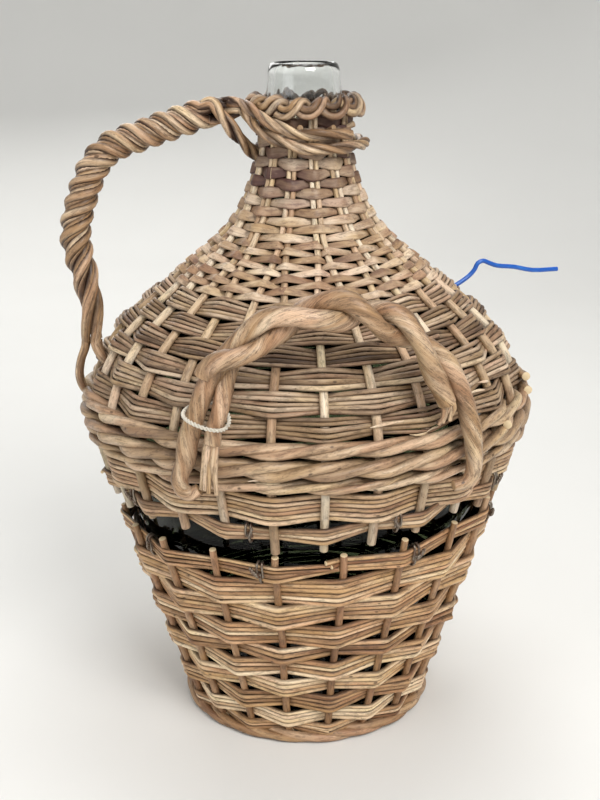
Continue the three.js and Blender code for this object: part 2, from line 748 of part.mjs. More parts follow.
function neckStrand(strand) {
  const points = [];
  const sizes = [];
  const steps = 36;
  const side = new THREE.Vector3(Math.cos(handleAngle), Math.sin(handleAngle), 0);
  for (let step = 0; step <= steps; step += 1) {
    const share = step / steps;
    const along = neckRoute.getTangentAt(share);
    const up = along.clone().cross(side).normalize();
    const lay = (strand / NECK_STRANDS + 0.25 + NECK_HANDLE_TURNS * share) * 2 * Math.PI;
    const point = neckRoute.getPointAt(share).addScaledVector(side, ropeLay * Math.cos(lay));
    points.push(point.addScaledVector(up, ropeLay * Math.sin(lay)));
    sizes.push(NECK_STRAND_RADIUS);
  }
  return { points, sizes };
}

const upperTailHeight = neckHandleTop + TAIL_TOP_HEIGHT;
const lowerTailHeight = upperTailHeight - 2 * NECK_TAIL_RADIUS - TAIL_GAP;
const lowerStrand = neckStrand(0);
neckTail(LOWER_TAIL_ANGLE, lowerTailHeight, lowerStrand.points, lowerStrand.sizes);
place('neck_handle_strand_1', rod(lowerStrand.points, lowerStrand.sizes, 6), handleWillow);

const upperStrand = neckStrand(2);
neckTail(UPPER_TAIL_ANGLE, upperTailHeight, upperStrand.points, upperStrand.sizes);
place('neck_handle_strand_2', rod(upperStrand.points, upperStrand.sizes, 6), handleWillow);

const shortStrand = neckStrand(1);
const shortEnd = shortStrand.points[shortStrand.points.length - 1].clone();
const endShare = (NECK_BORDER_RADIUS + 2 * HANDLE_PLAY) / Math.hypot(shortEnd.x, shortEnd.y);
shortStrand.points.push(new THREE.Vector3(shortEnd.x * endShare, shortEnd.y * endShare, shortEnd.z));
shortStrand.sizes.push(NECK_STRAND_RADIUS);
place('neck_handle_strand_3', rod(shortStrand.points, shortStrand.sizes, 6), handleWillow);

// Wire ties round the rim of the basket and the edge of the cover, with two tails outside
function rowEdges(row, angle) {
  const turn = (value) => Math.atan2(Math.sin(value - angle), Math.cos(value - angle));
  const count = row.angles.length;
  for (let stakeIndex = 0; stakeIndex < count; stakeIndex += 1) {
    const next = (stakeIndex + 1) % count;
    const before = turn(row.angles[stakeIndex]);
    const after = turn(row.angles[next]);
    if (before <= 0 && after > 0 && after - before < Math.PI) {
      const share = -before / (after - before);
      const middle = (ring, one, other) => ring[one].clone().lerp(ring[other], 0.5);
      const edge = (one, other) =>
        middle(row.rings[stakeIndex], one, other).lerp(middle(row.rings[next], one, other), share);
      return { low: edge(0, 1), high: edge(2, 3) };
    }
  }
  throw new Error('no stakes beside this angle');
}

function tie(row, angle) {
  const { low, high } = rowEdges(row, angle);
  const centre = low.clone().lerp(high, 0.5);
  const frame = wallFrame((row.low + row.high) / 2);
  const out = around(angle, frame.outR, frame.outZ);
  const up = around(angle, -frame.outZ, frame.outR);
  const across = row.thickness / 2 + TIE_WIRE_RADIUS + 2 * TIE_PLAY;
  const rise = low.distanceTo(high) / 2 + TIE_WIRE_RADIUS + TIE_PLAY;
  const route = [
    [across + TIE_TAIL, TIE_TAIL_SPREAD],
    [across, TIE_TAIL_SPREAD],
    [across, rise],
    [-across, rise],
    [-across, -rise],
    [across, -rise],
    [across, -TIE_TAIL_SPREAD],
    [across + TIE_TAIL, -TIE_TAIL_SPREAD],
  ];
  const points = route.map(([away, above]) =>
    centre.clone().addScaledVector(out, away).addScaledVector(up, above),
  );
  return rod(points, TIE_WIRE_RADIUS, 4);
}

BASKET_TIE_ANGLES.forEach((angle, index) => {
  place(`basket_tie_${index + 1}`, tie(basketRows[BASKET_ROWS - 1], radians(angle)), steelWire);
});
for (let index = 0; index < COVER_TIES; index += 1) {
  const stakeIndex = 3 * index - 4.5;
  const angle = radians(COVER_STAKE_ANGLE) + (stakeIndex / COVER_STAKES) * 2 * Math.PI;
  place(`cover_tie_${index + 1}`, tie(edgeRows[0], angle), steelWire);
}

// A coated wire lies on a shoulder row behind the right side and bends away from it
const wireRow = shoulderRows[SHOULDER_ROWS - 2];
const wireTurn = (stake) => Math.abs(wireRow.angles[stake] - radians(COATED_WIRE_ANGLE));
const wireStake = wireRow.angles
  .map((unused, stake) => stake)
  .filter((stake) => wireRow.offsets[stake] > 0)
  .reduce((best, stake) => (wireTurn(stake) < wireTurn(best) ? stake : best));
const wireAngle = wireRow.angles[wireStake];
const wireLay = wireRow.offsets[wireStake] + ROD_THICKNESS / 2 + SEAT_GAP + COATED_WIRE_RADIUS;
const wireBend = wallPoint((wireRow.low + wireRow.high) / 2, wireLay, wireAngle);
const wireOut = (away, above) => wireBend.clone().add(around(wireAngle, away, above));
const wirePoints = [
  wallPoint(wireRow.low, wireLay, wireAngle),
  wireBend,
  wireOut(COATED_WIRE_BEND_LENGTH, COATED_WIRE_HEIGHT),
  wireOut(COATED_WIRE_LENGTH, COATED_WIRE_HEIGHT - COATED_WIRE_SAG),
];
place('coated_wire', rod(wirePoints, COATED_WIRE_RADIUS, 8), blueCoating);

export default part;
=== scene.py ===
"""A wicker demijohn: a glass bottle in a willow basket and cover, with twisted handles."""
import logging
import math
from dataclasses import dataclass, field
from enum import Enum, IntEnum
from functools import cached_property
from typing import Sequence

import bpy
import numpy as np
from mathutils import Matrix, Vector


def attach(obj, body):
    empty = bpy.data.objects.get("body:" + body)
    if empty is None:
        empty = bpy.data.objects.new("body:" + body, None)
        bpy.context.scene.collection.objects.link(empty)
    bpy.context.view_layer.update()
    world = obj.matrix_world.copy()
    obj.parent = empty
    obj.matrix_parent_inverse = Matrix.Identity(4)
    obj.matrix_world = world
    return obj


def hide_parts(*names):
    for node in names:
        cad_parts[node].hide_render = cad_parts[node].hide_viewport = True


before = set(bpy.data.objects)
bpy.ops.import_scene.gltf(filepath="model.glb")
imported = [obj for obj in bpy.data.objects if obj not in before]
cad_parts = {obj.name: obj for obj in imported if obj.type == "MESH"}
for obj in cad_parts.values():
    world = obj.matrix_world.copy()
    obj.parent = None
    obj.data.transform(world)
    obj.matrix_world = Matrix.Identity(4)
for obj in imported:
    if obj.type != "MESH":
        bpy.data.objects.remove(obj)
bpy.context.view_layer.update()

LOG = logging.getLogger("demijohn")
Array = np.ndarray
Number = Array | float
Colour = tuple[int, int, int]
Place = tuple[float, float, float]
Material = bpy.types.Material
Socket = bpy.types.NodeSocket
MM = 0.001
TURN = 2 * math.pi
UPWARD = np.array([0.0, 0.0, 1.0])
LEVEL = np.array([1.0, 1.0, 0.0])


class Body(Enum):
    """The bodies that pieces move with."""

    BASKET = "lower_basket"
    BOTTLE = "bottle"
    COVER = "cover"


class Slot(Enum):
    """The material slots, whose names the materials take."""

    STRAW = "straw_willow"
    GREY = "grey_willow"
    SKEIN = "dark_skein"
    CREAM = "cream_willow"
    HANDLE = "handle_willow"
    GLASS = "clear_glass"
    STEEL = "steel_wire"
    STRING = "white_string"
    BLUE = "blue_coating"


class Lot(IntEnum):
    """The numbers that each pile's random draws start from."""

    BASE_STICKS = 11
    BASE_WEAVE = 12
    BASKET_STAKES = 21
    COVER_STAKES = 31
    BASKET_BANDS = 100
    BASKET_ROWS = 120
    BASKET_TIES = 150
    EDGE_BANDS = 200
    EDGE_ROWS = 210
    WALE = 300
    WALE_SWAY = 310
    SHOULDER_BANDS = 400
    SHOULDER_ROWS = 410
    CONE = 500
    BORDER = 600
    BARK = 650
    COVER_TIES = 700
    LIFT_HANDLE = 800
    NECK_HANDLE = 900
    STRING = 1000
    BLUE_WIRE = 1100


def draws(seed: int) -> np.random.Generator:
    """Starts a run of random draws that is the same each time."""
    return np.random.default_rng(int(seed))


def linear(colour: Colour) -> tuple[float, float, float, float]:
    """Turns a display colour of 0 to 255 into linear light."""
    parts = [value / 255 for value in colour]
    light = [p / 12.92 if p <= 0.04045 else ((p + 0.055) / 1.055) ** 2.4 for p in parts]
    return light[0], light[1], light[2], 1.0


def smooth(value: Number, low: float, high: float) -> Number:
    """Eases from 0 at low to 1 at high."""
    share = np.clip((value - low) / (high - low), 0.0, 1.0)
    return share * share * (3.0 - 2.0 * share)


def lerp(start: Number, end: Number, share: Number) -> Number:
    """Goes straight from start to end."""
    return start + (end - start) * share


def flattened(wave: Array, power: float) -> Array:
    """Flattens the crests of a wave by a power below 1."""
    return np.sign(wave) * np.abs(wave) ** power


def unit(vectors: Array) -> Array:
    """Scales each row to length 1."""
    return vectors / np.maximum(np.linalg.norm(vectors, axis=-1, keepdims=True), 1e-9)


def around(angle: Number, radius: Number, height: Number) -> Array:
    """Places points at an angle from the front towards the right, a radius and a height."""
    x, y, z = np.broadcast_arrays(radius * np.sin(angle), -radius * np.cos(angle), height)
    return np.stack([x, y, z], axis=-1).astype(float)


def wound(lay: Array, first: Array, second: Array) -> Array:
    """Turns from a first direction towards a second by an angle at each point."""
    return np.cos(lay)[:, None] * first + np.sin(lay)[:, None] * second


def run_along(path: Array) -> Array:
    """Gives each point's distance from the start of a path."""
    steps = np.linalg.norm(np.diff(path, axis=0), axis=1)
    return np.concatenate([[0.0], np.cumsum(steps)])


def curve_through(points: Sequence[Sequence[float]], per_span: int) -> Array:
    """Samples a centripetal curve through points.

    Args:
        points: The points to pass, two or three numbers each.
        per_span: Samples between one point and the next.

    Returns:
        The sampled points, both ends included.
    """
    knots = np.asarray(points, float)
    padded = np.vstack([2 * knots[0] - knots[1], knots, 2 * knots[-1] - knots[-2]])
    shortest = 1e-3
    samples = []
    for p0, p1, p2, p3 in zip(padded, padded[1:], padded[2:], padded[3:]):
        spans = ((p0, p1), (p1, p2), (p2, p3))
        d0, d1, d2 = (max(math.sqrt(np.linalg.norm(b - a)), shortest) for a, b in spans)
        m1 = d1 * ((p1 - p0) / d0 - (p2 - p0) / (d0 + d1) + (p2 - p1) / d1)
        m2 = d1 * ((p2 - p1) / d1 - (p3 - p1) / (d1 + d2) + (p3 - p2) / d2)
        t = np.linspace(0, 1, per_span, endpoint=False)[:, None]
        square = (3 * (p2 - p1) - 2 * m1 - m2) * t**2
        cube = (2 * (p1 - p2) + m1 + m2) * t**3
        samples.append(p1 + m1 * t + square + cube)
    return np.vstack([*samples, knots[-1:]])


def carried_frame(path: Array) -> tuple[Array, Array]:
    """Carries two directions along a path without twist.

    Args:
        path: Points along the path.

    Returns:
        The normal and the side direction at each point.
    """
    tangent = unit(np.gradient(path, axis=0))
    steep = 0.9
    seed = UPWARD if abs(tangent[0, 2]) < steep else np.array([1.0, 0.0, 0.0])
    normals = []
    for along in tangent:
        seed = seed - along * seed.dot(along)
        seed = seed / np.linalg.norm(seed)
        normals.append(seed)
    normal = np.array(normals)
    return normal, np.cross(tangent, normal)


def ring_faces(rings: int, sides: int, first: int = 0) -> list[list[int]]:
    """Joins rings of points into quads.

    Args:
        rings: How many rings there are.
        sides: Points in each ring.
        first: The number of the first point.

    Returns:
        Four point numbers for each quad.
    """
    start = first + np.arange(rings - 1)[:, None] * sides
    here = start + np.arange(sides)[None, :]
    after = start + (np.arange(sides)[None, :] + 1) % sides
    return np.stack([here, after, after + sides, here + sides], axis=-1).reshape(-1, 4).tolist()


def mesh_object(name: str, points: Array, faces: list[list[int]], material: Material) -> bpy.types.Object:
    """Makes a smooth mesh from points in metres and links it to the scene.

    Args:
        name: The object's name.
        points: Its points.
        faces: The point numbers of each face.
        material: What it is made of.

    Returns:
        The new object.
    """
    mesh = bpy.data.meshes.new(name)
    mesh.from_pydata(points.tolist(), [], faces)
    mesh.polygons.foreach_set("use_smooth", np.ones(len(mesh.polygons), bool))
    mesh.materials.append(material)
    made = bpy.data.objects.new(name, mesh)
    bpy.context.scene.collection.objects.link(made)
    return made


@dataclass(frozen=True)
class Streaks:
    """Noise drawn out along a rod: changes per millimetre along and across, fineness and roughness."""

    along: float
    across: float
    detail: float = 2.0
    rough: float = 0.5


FIBRE = Streaks(0.05, 1.4, 4.0, 0.65)
HAIR = Streaks(0.03, 4.0)
HUE = Streaks(0.018, 0.05)
SPLIT = Streaks(0.012, 0.55, 3.0, 0.55)
SMEAR = Streaks(0.05, 0.2, 3.0, 0.6)
SOIL = Streaks(0.12, 0.4, 5.0, 0.78)
RINGS = Streaks(0.0, 1.6)
RUST = Streaks(0.25, 0.8, 4.0, 0.6)
COTTON = Streaks(0.5, 5.0, 3.0, 0.6)
SCUFF = Streaks(0.12, 0.9, 4.0, 0.6)


class Board:
    """Adds and links shader nodes in one material."""

    def __init__(self, name: str) -> None:
        """Starts an empty material of that name."""
        self.material = bpy.data.materials.new(name)
        self.material.use_nodes = True
        self.tree = self.material.node_tree
        self.tree.nodes.clear()

    def node(self, kind: str, **values: object) -> bpy.types.Node:
        """Adds a node and sets its properties."""
        made = self.tree.nodes.new(kind)
        for key, value in values.items():
            setattr(made, key, value)
        return made

    def feed(self, made: bpy.types.Node, key: str | int, value: object) -> None:
        """Links a socket into an input, or sets the input to a constant."""
        if isinstance(value, Socket):
            self.tree.links.new(value, made.inputs[key])
        else:
            made.inputs[key].default_value = value

    def attribute(self, name: str, vector: bool = False) -> Socket:
        """Reads an attribute of the mesh."""
        made = self.node("ShaderNodeAttribute", attribute_name=name)
        return made.outputs["Vector" if vector else "Fac"]

    @cached_property
    def grain(self) -> Socket:
        """The rods' own coordinates, in millimetres along and across."""
        return self.attribute("grain", vector=True)

    def scaled(self, vector: Socket, by: Place) -> Socket:
        """Stretches coordinates."""
        made = self.node("ShaderNodeVectorMath", operation="MULTIPLY")
        self.feed(made, 0, vector)
        self.feed(made, 1, by)
        return made.outputs["Vector"]

    def noise(self, vector: Socket, scale: float, detail: float = 2.0, rough: float = 0.5) -> Socket:
        """Makes soft noise from 0 to 1."""
        made = self.node("ShaderNodeTexNoise")
        self.feed(made, "Vector", vector)
        self.feed(made, "Scale", scale)
        self.feed(made, "Detail", detail)
        self.feed(made, "Roughness", rough)
        return made.outputs["Fac"]

    def streaks(self, kind: Streaks) -> Socket:
        """Makes noise drawn out along the rods."""
        stretched = self.scaled(self.grain, (kind.along, kind.across, kind.across))
        return self.noise(stretched, 1.0, kind.detail, kind.rough)

    def flecks(self, along: float, across: float, share: float, edge: tuple[float, float]) -> Socket:
        """Scatters round flecks over the rods.

        Args:
            along: Cells per millimetre along a rod.
            across: Cells per millimetre across it.
            share: The share of cells that hold a fleck.
            edge: How far from a fleck's middle it has gone, and how far it is full.

        Returns:
            1 within a fleck and 0 outside.
        """
        cells = self.node("ShaderNodeTexVoronoi")
        self.feed(cells, "Vector", self.scaled(self.grain, (along, across, across)))
        self.feed(cells, "Scale", 1.0)
        chosen = self.math("LESS_THAN", cells.outputs["Color"], share)
        return self.math("MULTIPLY", self.fade(cells.outputs["Distance"], *edge), chosen)

    def math(self, operation: str, *values: object, clamp: bool = False) -> Socket:
        """Joins values with one operation."""
        made = self.node("ShaderNodeMath", operation=operation, use_clamp=clamp)
        for index, value in enumerate(values):
            self.feed(made, index, value)
        return made.outputs[0]

    def ramp(self, factor: Socket, stops: Sequence[tuple[float, Colour]]) -> Socket:
        """Turns a value into a colour between stops."""
        made = self.node("ShaderNodeValToRGB")
        elements = made.color_ramp.elements
        while len(elements) < len(stops):
            elements.new(0.5)
        for element, (place, colour) in zip(elements, stops):
            element.position = place
            element.color = linear(colour)
        self.feed(made, "Fac", factor)
        return made.outputs["Color"]

    def fade(self, factor: Socket, low: float, high: float) -> Socket:
        """Eases a value from 0 at low to 1 at high, or back where low is above high."""
        made = self.node("ShaderNodeMapRange", interpolation_type="SMOOTHSTEP")
        turned = low > high
        self.feed(made, "Value", factor)
        self.feed(made, "From Min", min(low, high))
        self.feed(made, "From Max", max(low, high))
        self.feed(made, "To Min", 1.0 if turned else 0.0)
        self.feed(made, "To Max", 0.0 if turned else 1.0)
        return made.outputs["Result"]

    def mix(self, factor: Socket, first: object, second: object, blend: str = "MIX") -> Socket:
        """Mixes two colours."""
        made = self.node("ShaderNodeMix", data_type="RGBA", blend_type=blend)
        factor_input, first_input, second_input, colour_output = 0, 6, 7, 2
        self.feed(made, factor_input, factor)
        for key, value in ((first_input, first), (second_input, second)):
            self.feed(made, key, linear(value) if isinstance(value, tuple) else value)
        return made.outputs[colour_output]

    def bump(self, height: Socket, strength: float, distance: float) -> Socket:
        """Turns a height into a bumped normal."""
        made = self.node("ShaderNodeBump")
        self.feed(made, "Strength", strength)
        self.feed(made, "Distance", distance)
        self.feed(made, "Height", height)
        return made.outputs["Normal"]

    def finish(self, **sockets: object) -> Material:
        """Adds the surface shader and its output.

        Args:
            **sockets: The shader's inputs by name, with _ for a space.

        Returns:
            The finished material.
        """
        shader = self.node("ShaderNodeBsdfPrincipled")
        for key, value in sockets.items():
            self.feed(shader, key.replace("_", " "), value)
        output = self.node("ShaderNodeOutputMaterial")
        self.tree.links.new(shader.outputs["BSDF"], output.inputs["Surface"])
        return self.material


@dataclass(frozen=True)
class Willow:
    """Peeled willow, round or split: fibres along each rod, blotches, knots, pale cut ends, and painted shade
    where rods meet.
    """

    slot: Slot
    dark: Colour
    middle: Colour
    light: Colour
    # The dark colour of knots, flecks, stains and soil, also used for the painted shade on the rods' flanks
    # and backs.
    dirt_and_shade: Colour = (56, 38, 28)
    cut: Colour = (224, 204, 166)
    blush: Colour = (250, 228, 222)
    gold: Colour = (253, 247, 220)
    knots: float = 0.28
    cracks: float = 0.0
    patch: float = 0.016
    grime: float = 0.5
    fibres: float = 0.36
    rough: float = 0.5
    bump: float = 0.35
    contrast: float = 1.15
    level: float = -0.035
    tint: float = 0.2
    wash: float = 0.55
    spots: float = 0.75
    relief: float = 0.0004
    gloss: float = 0.35

    def make(self) -> Material:
        """Builds the material from the rods' own coordinates."""
        board = Board(self.slot.value)
        fibre = board.streaks(FIBRE)
        hair = board.streaks(HAIR)
        spot = self.spotted(board)
        colour = self.peeled(board, fibre, hair)
        colour = board.mix(board.math("MULTIPLY", spot, self.spots), colour, self.dirt_and_shade)
        colour = self.soiled(board, colour)
        rings = board.math("MULTIPLY", board.streaks(RINGS), 0.5)
        colour = board.mix(board.attribute("cut"), colour, board.mix(rings, self.cut, self.middle))
        height = board.math("ADD", board.math("MULTIPLY", fibre, 0.7), board.math("MULTIPLY", hair, 0.3))
        height = board.math("SUBTRACT", height, board.math("MULTIPLY", spot, 0.5))
        return board.finish(
            Base_Color=colour,
            Roughness=board.math("MULTIPLY_ADD", fibre, 0.3, self.rough - 0.15),
            Normal=board.bump(height, self.bump, self.relief),
            Specular_IOR_Level=self.gloss,
        )

    def peeled(self, board: Board, fibre: Socket, hair: Socket) -> Socket:
        """Colours clean willow, rosy in places and golden in others.

        Args:
            board: Takes the nodes.
            fibre: The coarse streaks.
            hair: The fine streaks.

        Returns:
            The colour.
        """
        blotch = board.streaks(Streaks(self.patch, 0.12, 3.0, 0.6))
        tone = board.math("MULTIPLY_ADD", blotch, self.contrast, self.level)
        tone = board.math("MULTIPLY_ADD", board.attribute("tint"), self.tint, tone)
        streaked = board.math("MULTIPLY_ADD", fibre, self.fibres, -self.fibres / 2)
        tone = board.math("ADD", tone, streaked)
        colour = board.ramp(tone, ((0.08, self.dark), (0.48, self.middle), (0.92, self.light)))
        hue = board.streaks(HUE)
        for edge, wash in ((0.64, self.blush), (0.36, self.gold)):
            share = board.math("MULTIPLY", board.fade(hue, 0.5, edge), self.wash)
            colour = board.mix(share, colour, wash, "MULTIPLY")
        streak = board.math("MULTIPLY", board.fade(hair, 0.46, 0.3), self.fibres)
        return board.mix(streak, colour, self.dark)

    def spotted(self, board: Board) -> Socket:
        """Marks knots, flecks and cracks with 1 and the rest with 0."""
        knot = board.flecks(0.09, 0.16, self.knots, (0.17, 0.08))
        fleck = board.flecks(0.3, 0.45, self.knots, (0.22, 0.1))
        spot = board.math("MAXIMUM", knot, board.math("MULTIPLY", fleck, 0.7))
        if self.cracks > 0:
            line = board.math("SUBTRACT", board.streaks(SPLIT), 0.5)
            line = board.fade(board.math("ABSOLUTE", line), 0.016, 0.004)
            spot = board.math("MAXIMUM", spot, board.math("MULTIPLY", line, self.cracks))
        return spot

    def soiled(self, board: Board, colour: Socket) -> Socket:
        """Lays the rods' own stains, the painted shade on their flanks and backs, and a fine soil over a
        colour.
        """
        smear = board.math("MULTIPLY_ADD", board.streaks(SMEAR), 1.5, 0.1)
        # This attribute holds the rods' stains together with the painted shade on their flanks and backs,
        # both laid in the dark colour.
        stain_and_shade = board.math("MULTIPLY", board.attribute("stain_and_shade"), smear, clamp=True)
        colour = board.mix(stain_and_shade, colour, self.dirt_and_shade)
        soil = board.fade(board.streaks(SOIL), 0.47, 0.63)
        return board.mix(board.math("MULTIPLY", soil, self.grime), colour, self.dirt_and_shade)


@dataclass(frozen=True)
class ClearGlass:
    """Blown clear glass, slightly green, with a faint unevenness, and painted shade darkening the body below
    the neck.
    """

    slot: Slot = Slot.GLASS
    clear: Colour = (249, 251, 250)
    # The body's painted shade, and the heights in metres where it is full and where the clear glass begins.
    body_shade: Colour = (128, 136, 116)
    shade_to: float = 0.34
    clear_from: float = 0.447
    body_bending: float = 1.22
    neck_bending: float = 1.5

    def make(self) -> Material:
        """Builds the material: clear at the neck, darkened by painted shade over the body, which sits inside
        the wicker.
        """
        board = Board(self.slot.value)
        place = board.node("ShaderNodeTexCoord").outputs["Object"]
        parts = board.node("ShaderNodeSeparateXYZ")
        board.feed(parts, 0, place)
        clear_share = board.fade(parts.outputs["Z"], self.shade_to, self.clear_from)
        wave = board.noise(place, 22.0, 2.0)
        return board.finish(
            Base_Color=board.mix(clear_share, self.body_shade, self.clear),
            Roughness=board.math("MULTIPLY_ADD", wave, 0.03, 0.01),
            Normal=board.bump(wave, 0.1, 0.002),
            Transmission_Weight=1.0,
            IOR=board.math("MULTIPLY_ADD", clear_share, self.neck_bending - self.body_bending, self.body_bending),
        )


@dataclass(frozen=True)
class SteelWire:
    """Thin steel wire, dull, with rust in places."""

    slot: Slot = Slot.STEEL
    bright: Colour = (138, 128, 116)
    rust: Colour = (88, 60, 43)

    def make(self) -> Material:
        """Builds the material."""
        board = Board(self.slot.value)
        patch = board.streaks(RUST)
        rust = board.fade(patch, 0.42, 0.66)
        return board.finish(
            Base_Color=board.mix(rust, self.bright, self.rust),
            Roughness=board.math("MULTIPLY_ADD", rust, 0.3, 0.34),
            Metallic=board.math("MULTIPLY_ADD", rust, -0.6, 0.95),
            Normal=board.bump(patch, 0.25, 0.0002),
        )


@dataclass(frozen=True)
class CottonString:
    """White twisted string with loose fibres."""

    slot: Slot = Slot.STRING
    white: Colour = (226, 222, 210)
    shade: Colour = (176, 166, 148)

    def make(self) -> Material:
        """Builds the material."""
        board = Board(self.slot.value)
        fibre = board.streaks(COTTON)
        return board.finish(
            Base_Color=board.mix(fibre, self.shade, self.white),
            Roughness=board.math("MULTIPLY_ADD", fibre, 0.15, 0.8),
            Normal=board.bump(fibre, 0.5, 0.0003),
            Sheen_Weight=0.3,
        )


@dataclass(frozen=True)
class BlueCoating:
    """Blue plastic over wire, a little scuffed."""

    slot: Slot = Slot.BLUE
    blue: Colour = (4, 82, 176)
    worn: Colour = (44, 122, 204)

    def make(self) -> Material:
        """Builds the material."""
        board = Board(self.slot.value)
        scuff = board.fade(board.streaks(SCUFF), 0.5, 0.75)
        return board.finish(
            Base_Color=board.mix(scuff, self.blue, self.worn),
            Roughness=board.math("MULTIPLY_ADD", scuff, 0.25, 0.28),
            Normal=board.bump(scuff, 0.15, 0.0002),
            Coat_Weight=0.2,
        )


@dataclass(frozen=True)
class PalePaper:
    """The pale paper of the studio's cove."""

    name: str = "pale_paper"
    shade: Colour = (226, 226, 224)
    light: Colour = (233, 233, 231)

    def make(self) -> Material:
        """Builds the material."""
        board = Board(self.name)
        tone = board.noise(board.node("ShaderNodeTexCoord").outputs["Object"], 3.0, 2.0)
        return board.finish(
            Base_Color=board.mix(tone, self.shade, self.light),
            Roughness=board.math("MULTIPLY_ADD", tone, 0.1, 0.8),
            Specular_IOR_Level=0.15,
        )


Finish = Willow | ClearGlass | SteelWire | CottonString | BlueCoating


class FinishShelf:
    """Makes each finish once and hands it to every piece that asks."""

    def __init__(self) -> None:
        """Starts with no finish made."""
        self.made: dict[Finish, Material] = {}

    def get(self, finish: Finish) -> Material:
        """Gives the material of a finish."""
        if finish not in self.made:
            self.made[finish] = finish.make()
        return self.made[finish]


SHELF = FinishShelf()
STRAW = Willow(Slot.STRAW, (118, 80, 53), (198, 159, 116), (245, 222, 187), knots=0.36)
EDGE = Willow(Slot.GREY, (104, 76, 55), (184, 151, 116), (236, 212, 180))
BROWN = Willow(Slot.STRAW, (96, 68, 48), (156, 120, 88), (202, 170, 138), knots=0.2)
GREY = Willow(Slot.GREY, (84, 65, 50), (155, 129, 102), (219, 197, 171))
SKEIN = Willow(
    Slot.SKEIN, (114, 83, 63), (181, 152, 121), (234, 213, 187), dirt_and_shade=(82, 56, 50), patch=0.04, knots=0.2
)
CREAM = Willow(Slot.CREAM, (148, 116, 86), (206, 181, 149), (240, 227, 205), knots=0.18)
HANDLE = Willow(
    Slot.HANDLE, (92, 63, 42), (170, 137, 104), (238, 216, 186), cut=(152, 124, 92), cracks=0.85,
    patch=0.012, fibres=0.24, rough=0.38,
)
WALE = Willow(
    Slot.HANDLE, (106, 81, 60), (184, 155, 124), (238, 217, 187), cracks=0.4, patch=0.014, knots=0.4,
    fibres=0.22, rough=0.42,
)


@dataclass
class WickerWall:
    """The wicker's outer outline in millimetres, and the surface that its stakes follow."""

    radii: tuple[float, ...] = (93, 121.5, 145.5, 160, 142.5, 95, 53, 35.5, 34)
    heights: tuple[float, ...] = (0, 90, 169, 238, 286, 330, 366, 409, 438)
    stake_radius: float = 3.0
    tip_radius: float = 1.4
    play: float = 0.8
    rod: float = 3.2
    skein: float = 1.2
    per_span: int = 60
    feel: float = 2.0
    bend_points: int = 5
    bend_most: float = 0.4
    curve: Array = field(init=False)
    run: Array = field(init=False)

    def __post_init__(self) -> None:
        """Samples the outline by its length."""
        self.curve = curve_through(list(zip(self.radii, self.heights)), self.per_span)
        self.run = run_along(self.curve)

    def length_at(self, height: Number) -> Number:
        """Gives the length along the outline at a height."""
        return np.interp(height, self.curve[:, 1], self.run)

    def line(self, length: Number) -> tuple[Array, Array]:
        """Gives the radius and height at a length."""
        return np.interp(length, self.run, self.curve[:, 0]), np.interp(length, self.run, self.curve[:, 1])

    def facing(self, length: Number) -> tuple[Array, Array]:
        """Gives the outward direction at a length, in radius and height."""
        r0, z0 = self.line(np.asarray(length) - self.feel)
        r1, z1 = self.line(np.asarray(length) + self.feel)
        size = np.hypot(r1 - r0, z1 - z0)
        return (z1 - z0) / size, -(r1 - r0) / size

    def stake_size(self, height: Number) -> Number:
        """Gives the radius of a stake at a height."""
        share = np.clip((height - self.heights[4]) / (self.heights[7] - self.heights[4]), 0, 1)
        return lerp(self.stake_radius, self.tip_radius, share)

    def half(self, height: Number) -> Number:
        """Gives half the wall's thickness at a height."""
        weft = lerp(self.rod, self.skein, smooth(height, self.heights[5], self.heights[6]))
        return self.stake_size(height) + self.play + weft

    def point(self, length: Number, offset: Number, angle: Number) -> Array:
        """Places points at a length, an offset from the stakes' line and an angle."""
        radius, height = self.line(length)
        out_r, out_z = self.facing(length)
        shift = offset - self.half(height)
        return around(angle, radius + out_r * shift, height + out_z * shift)

    def out(self, length: Number, angle: Number) -> Array:
        """Gives the outward direction at a length and an angle."""
        out_r, out_z = self.facing(length)
        return around(angle, out_r, out_z)

    def woven(self, angle: Array, length: Array, offset: Array, bend: float) -> tuple[Array, Array]:
        """Draws a rod straight from stake to stake with a tight bend at each.

        Args:
            angle: The angle of each stake that it passes.
            length: The length along the outline there.
            offset: The offset from the stakes' line there.
            bend: How far from the stake each bend begins.

        Returns:
            The path and the wall's outward direction along it.
        """
        knots = self.point(length, offset, angle)
        out = self.out(length, angle)
        step = np.diff(knots, axis=0)
        run = np.linalg.norm(step, axis=1, keepdims=True)
        along = step / run
        first = knots[1:-1] - along[:-1] * np.minimum(bend, self.bend_most * run[:-1])
        last = knots[1:-1] + along[1:] * np.minimum(bend, self.bend_most * run[1:])
        share = np.linspace(0, 1, self.bend_points)[None, :, None]
        bends = (
            first[:, None] * (1 - share) ** 2
            + knots[1:-1, None] * 2 * share * (1 - share)
            + last[:, None] * share**2
        )
        middles = (knots[1:-1] + knots[2:]) / 2
        path = np.concatenate([bends, middles[:, None]], axis=1).reshape(-1, 3)
        faces = np.repeat(out[1:-1, None], self.bend_points, axis=1)
        between = (out[1:-1] + out[2:]) / 2
        sides = np.concatenate([faces, between[:, None]], axis=1).reshape(-1, 3)
        start = np.array([knots[0], (knots[0] + knots[1]) / 2])
        return (
            np.vstack([start, path, knots[-1:]]),
            unit(np.vstack([out[:1], (out[:1] + out[1:2]) / 2, sides, out[-1:]])),
        )


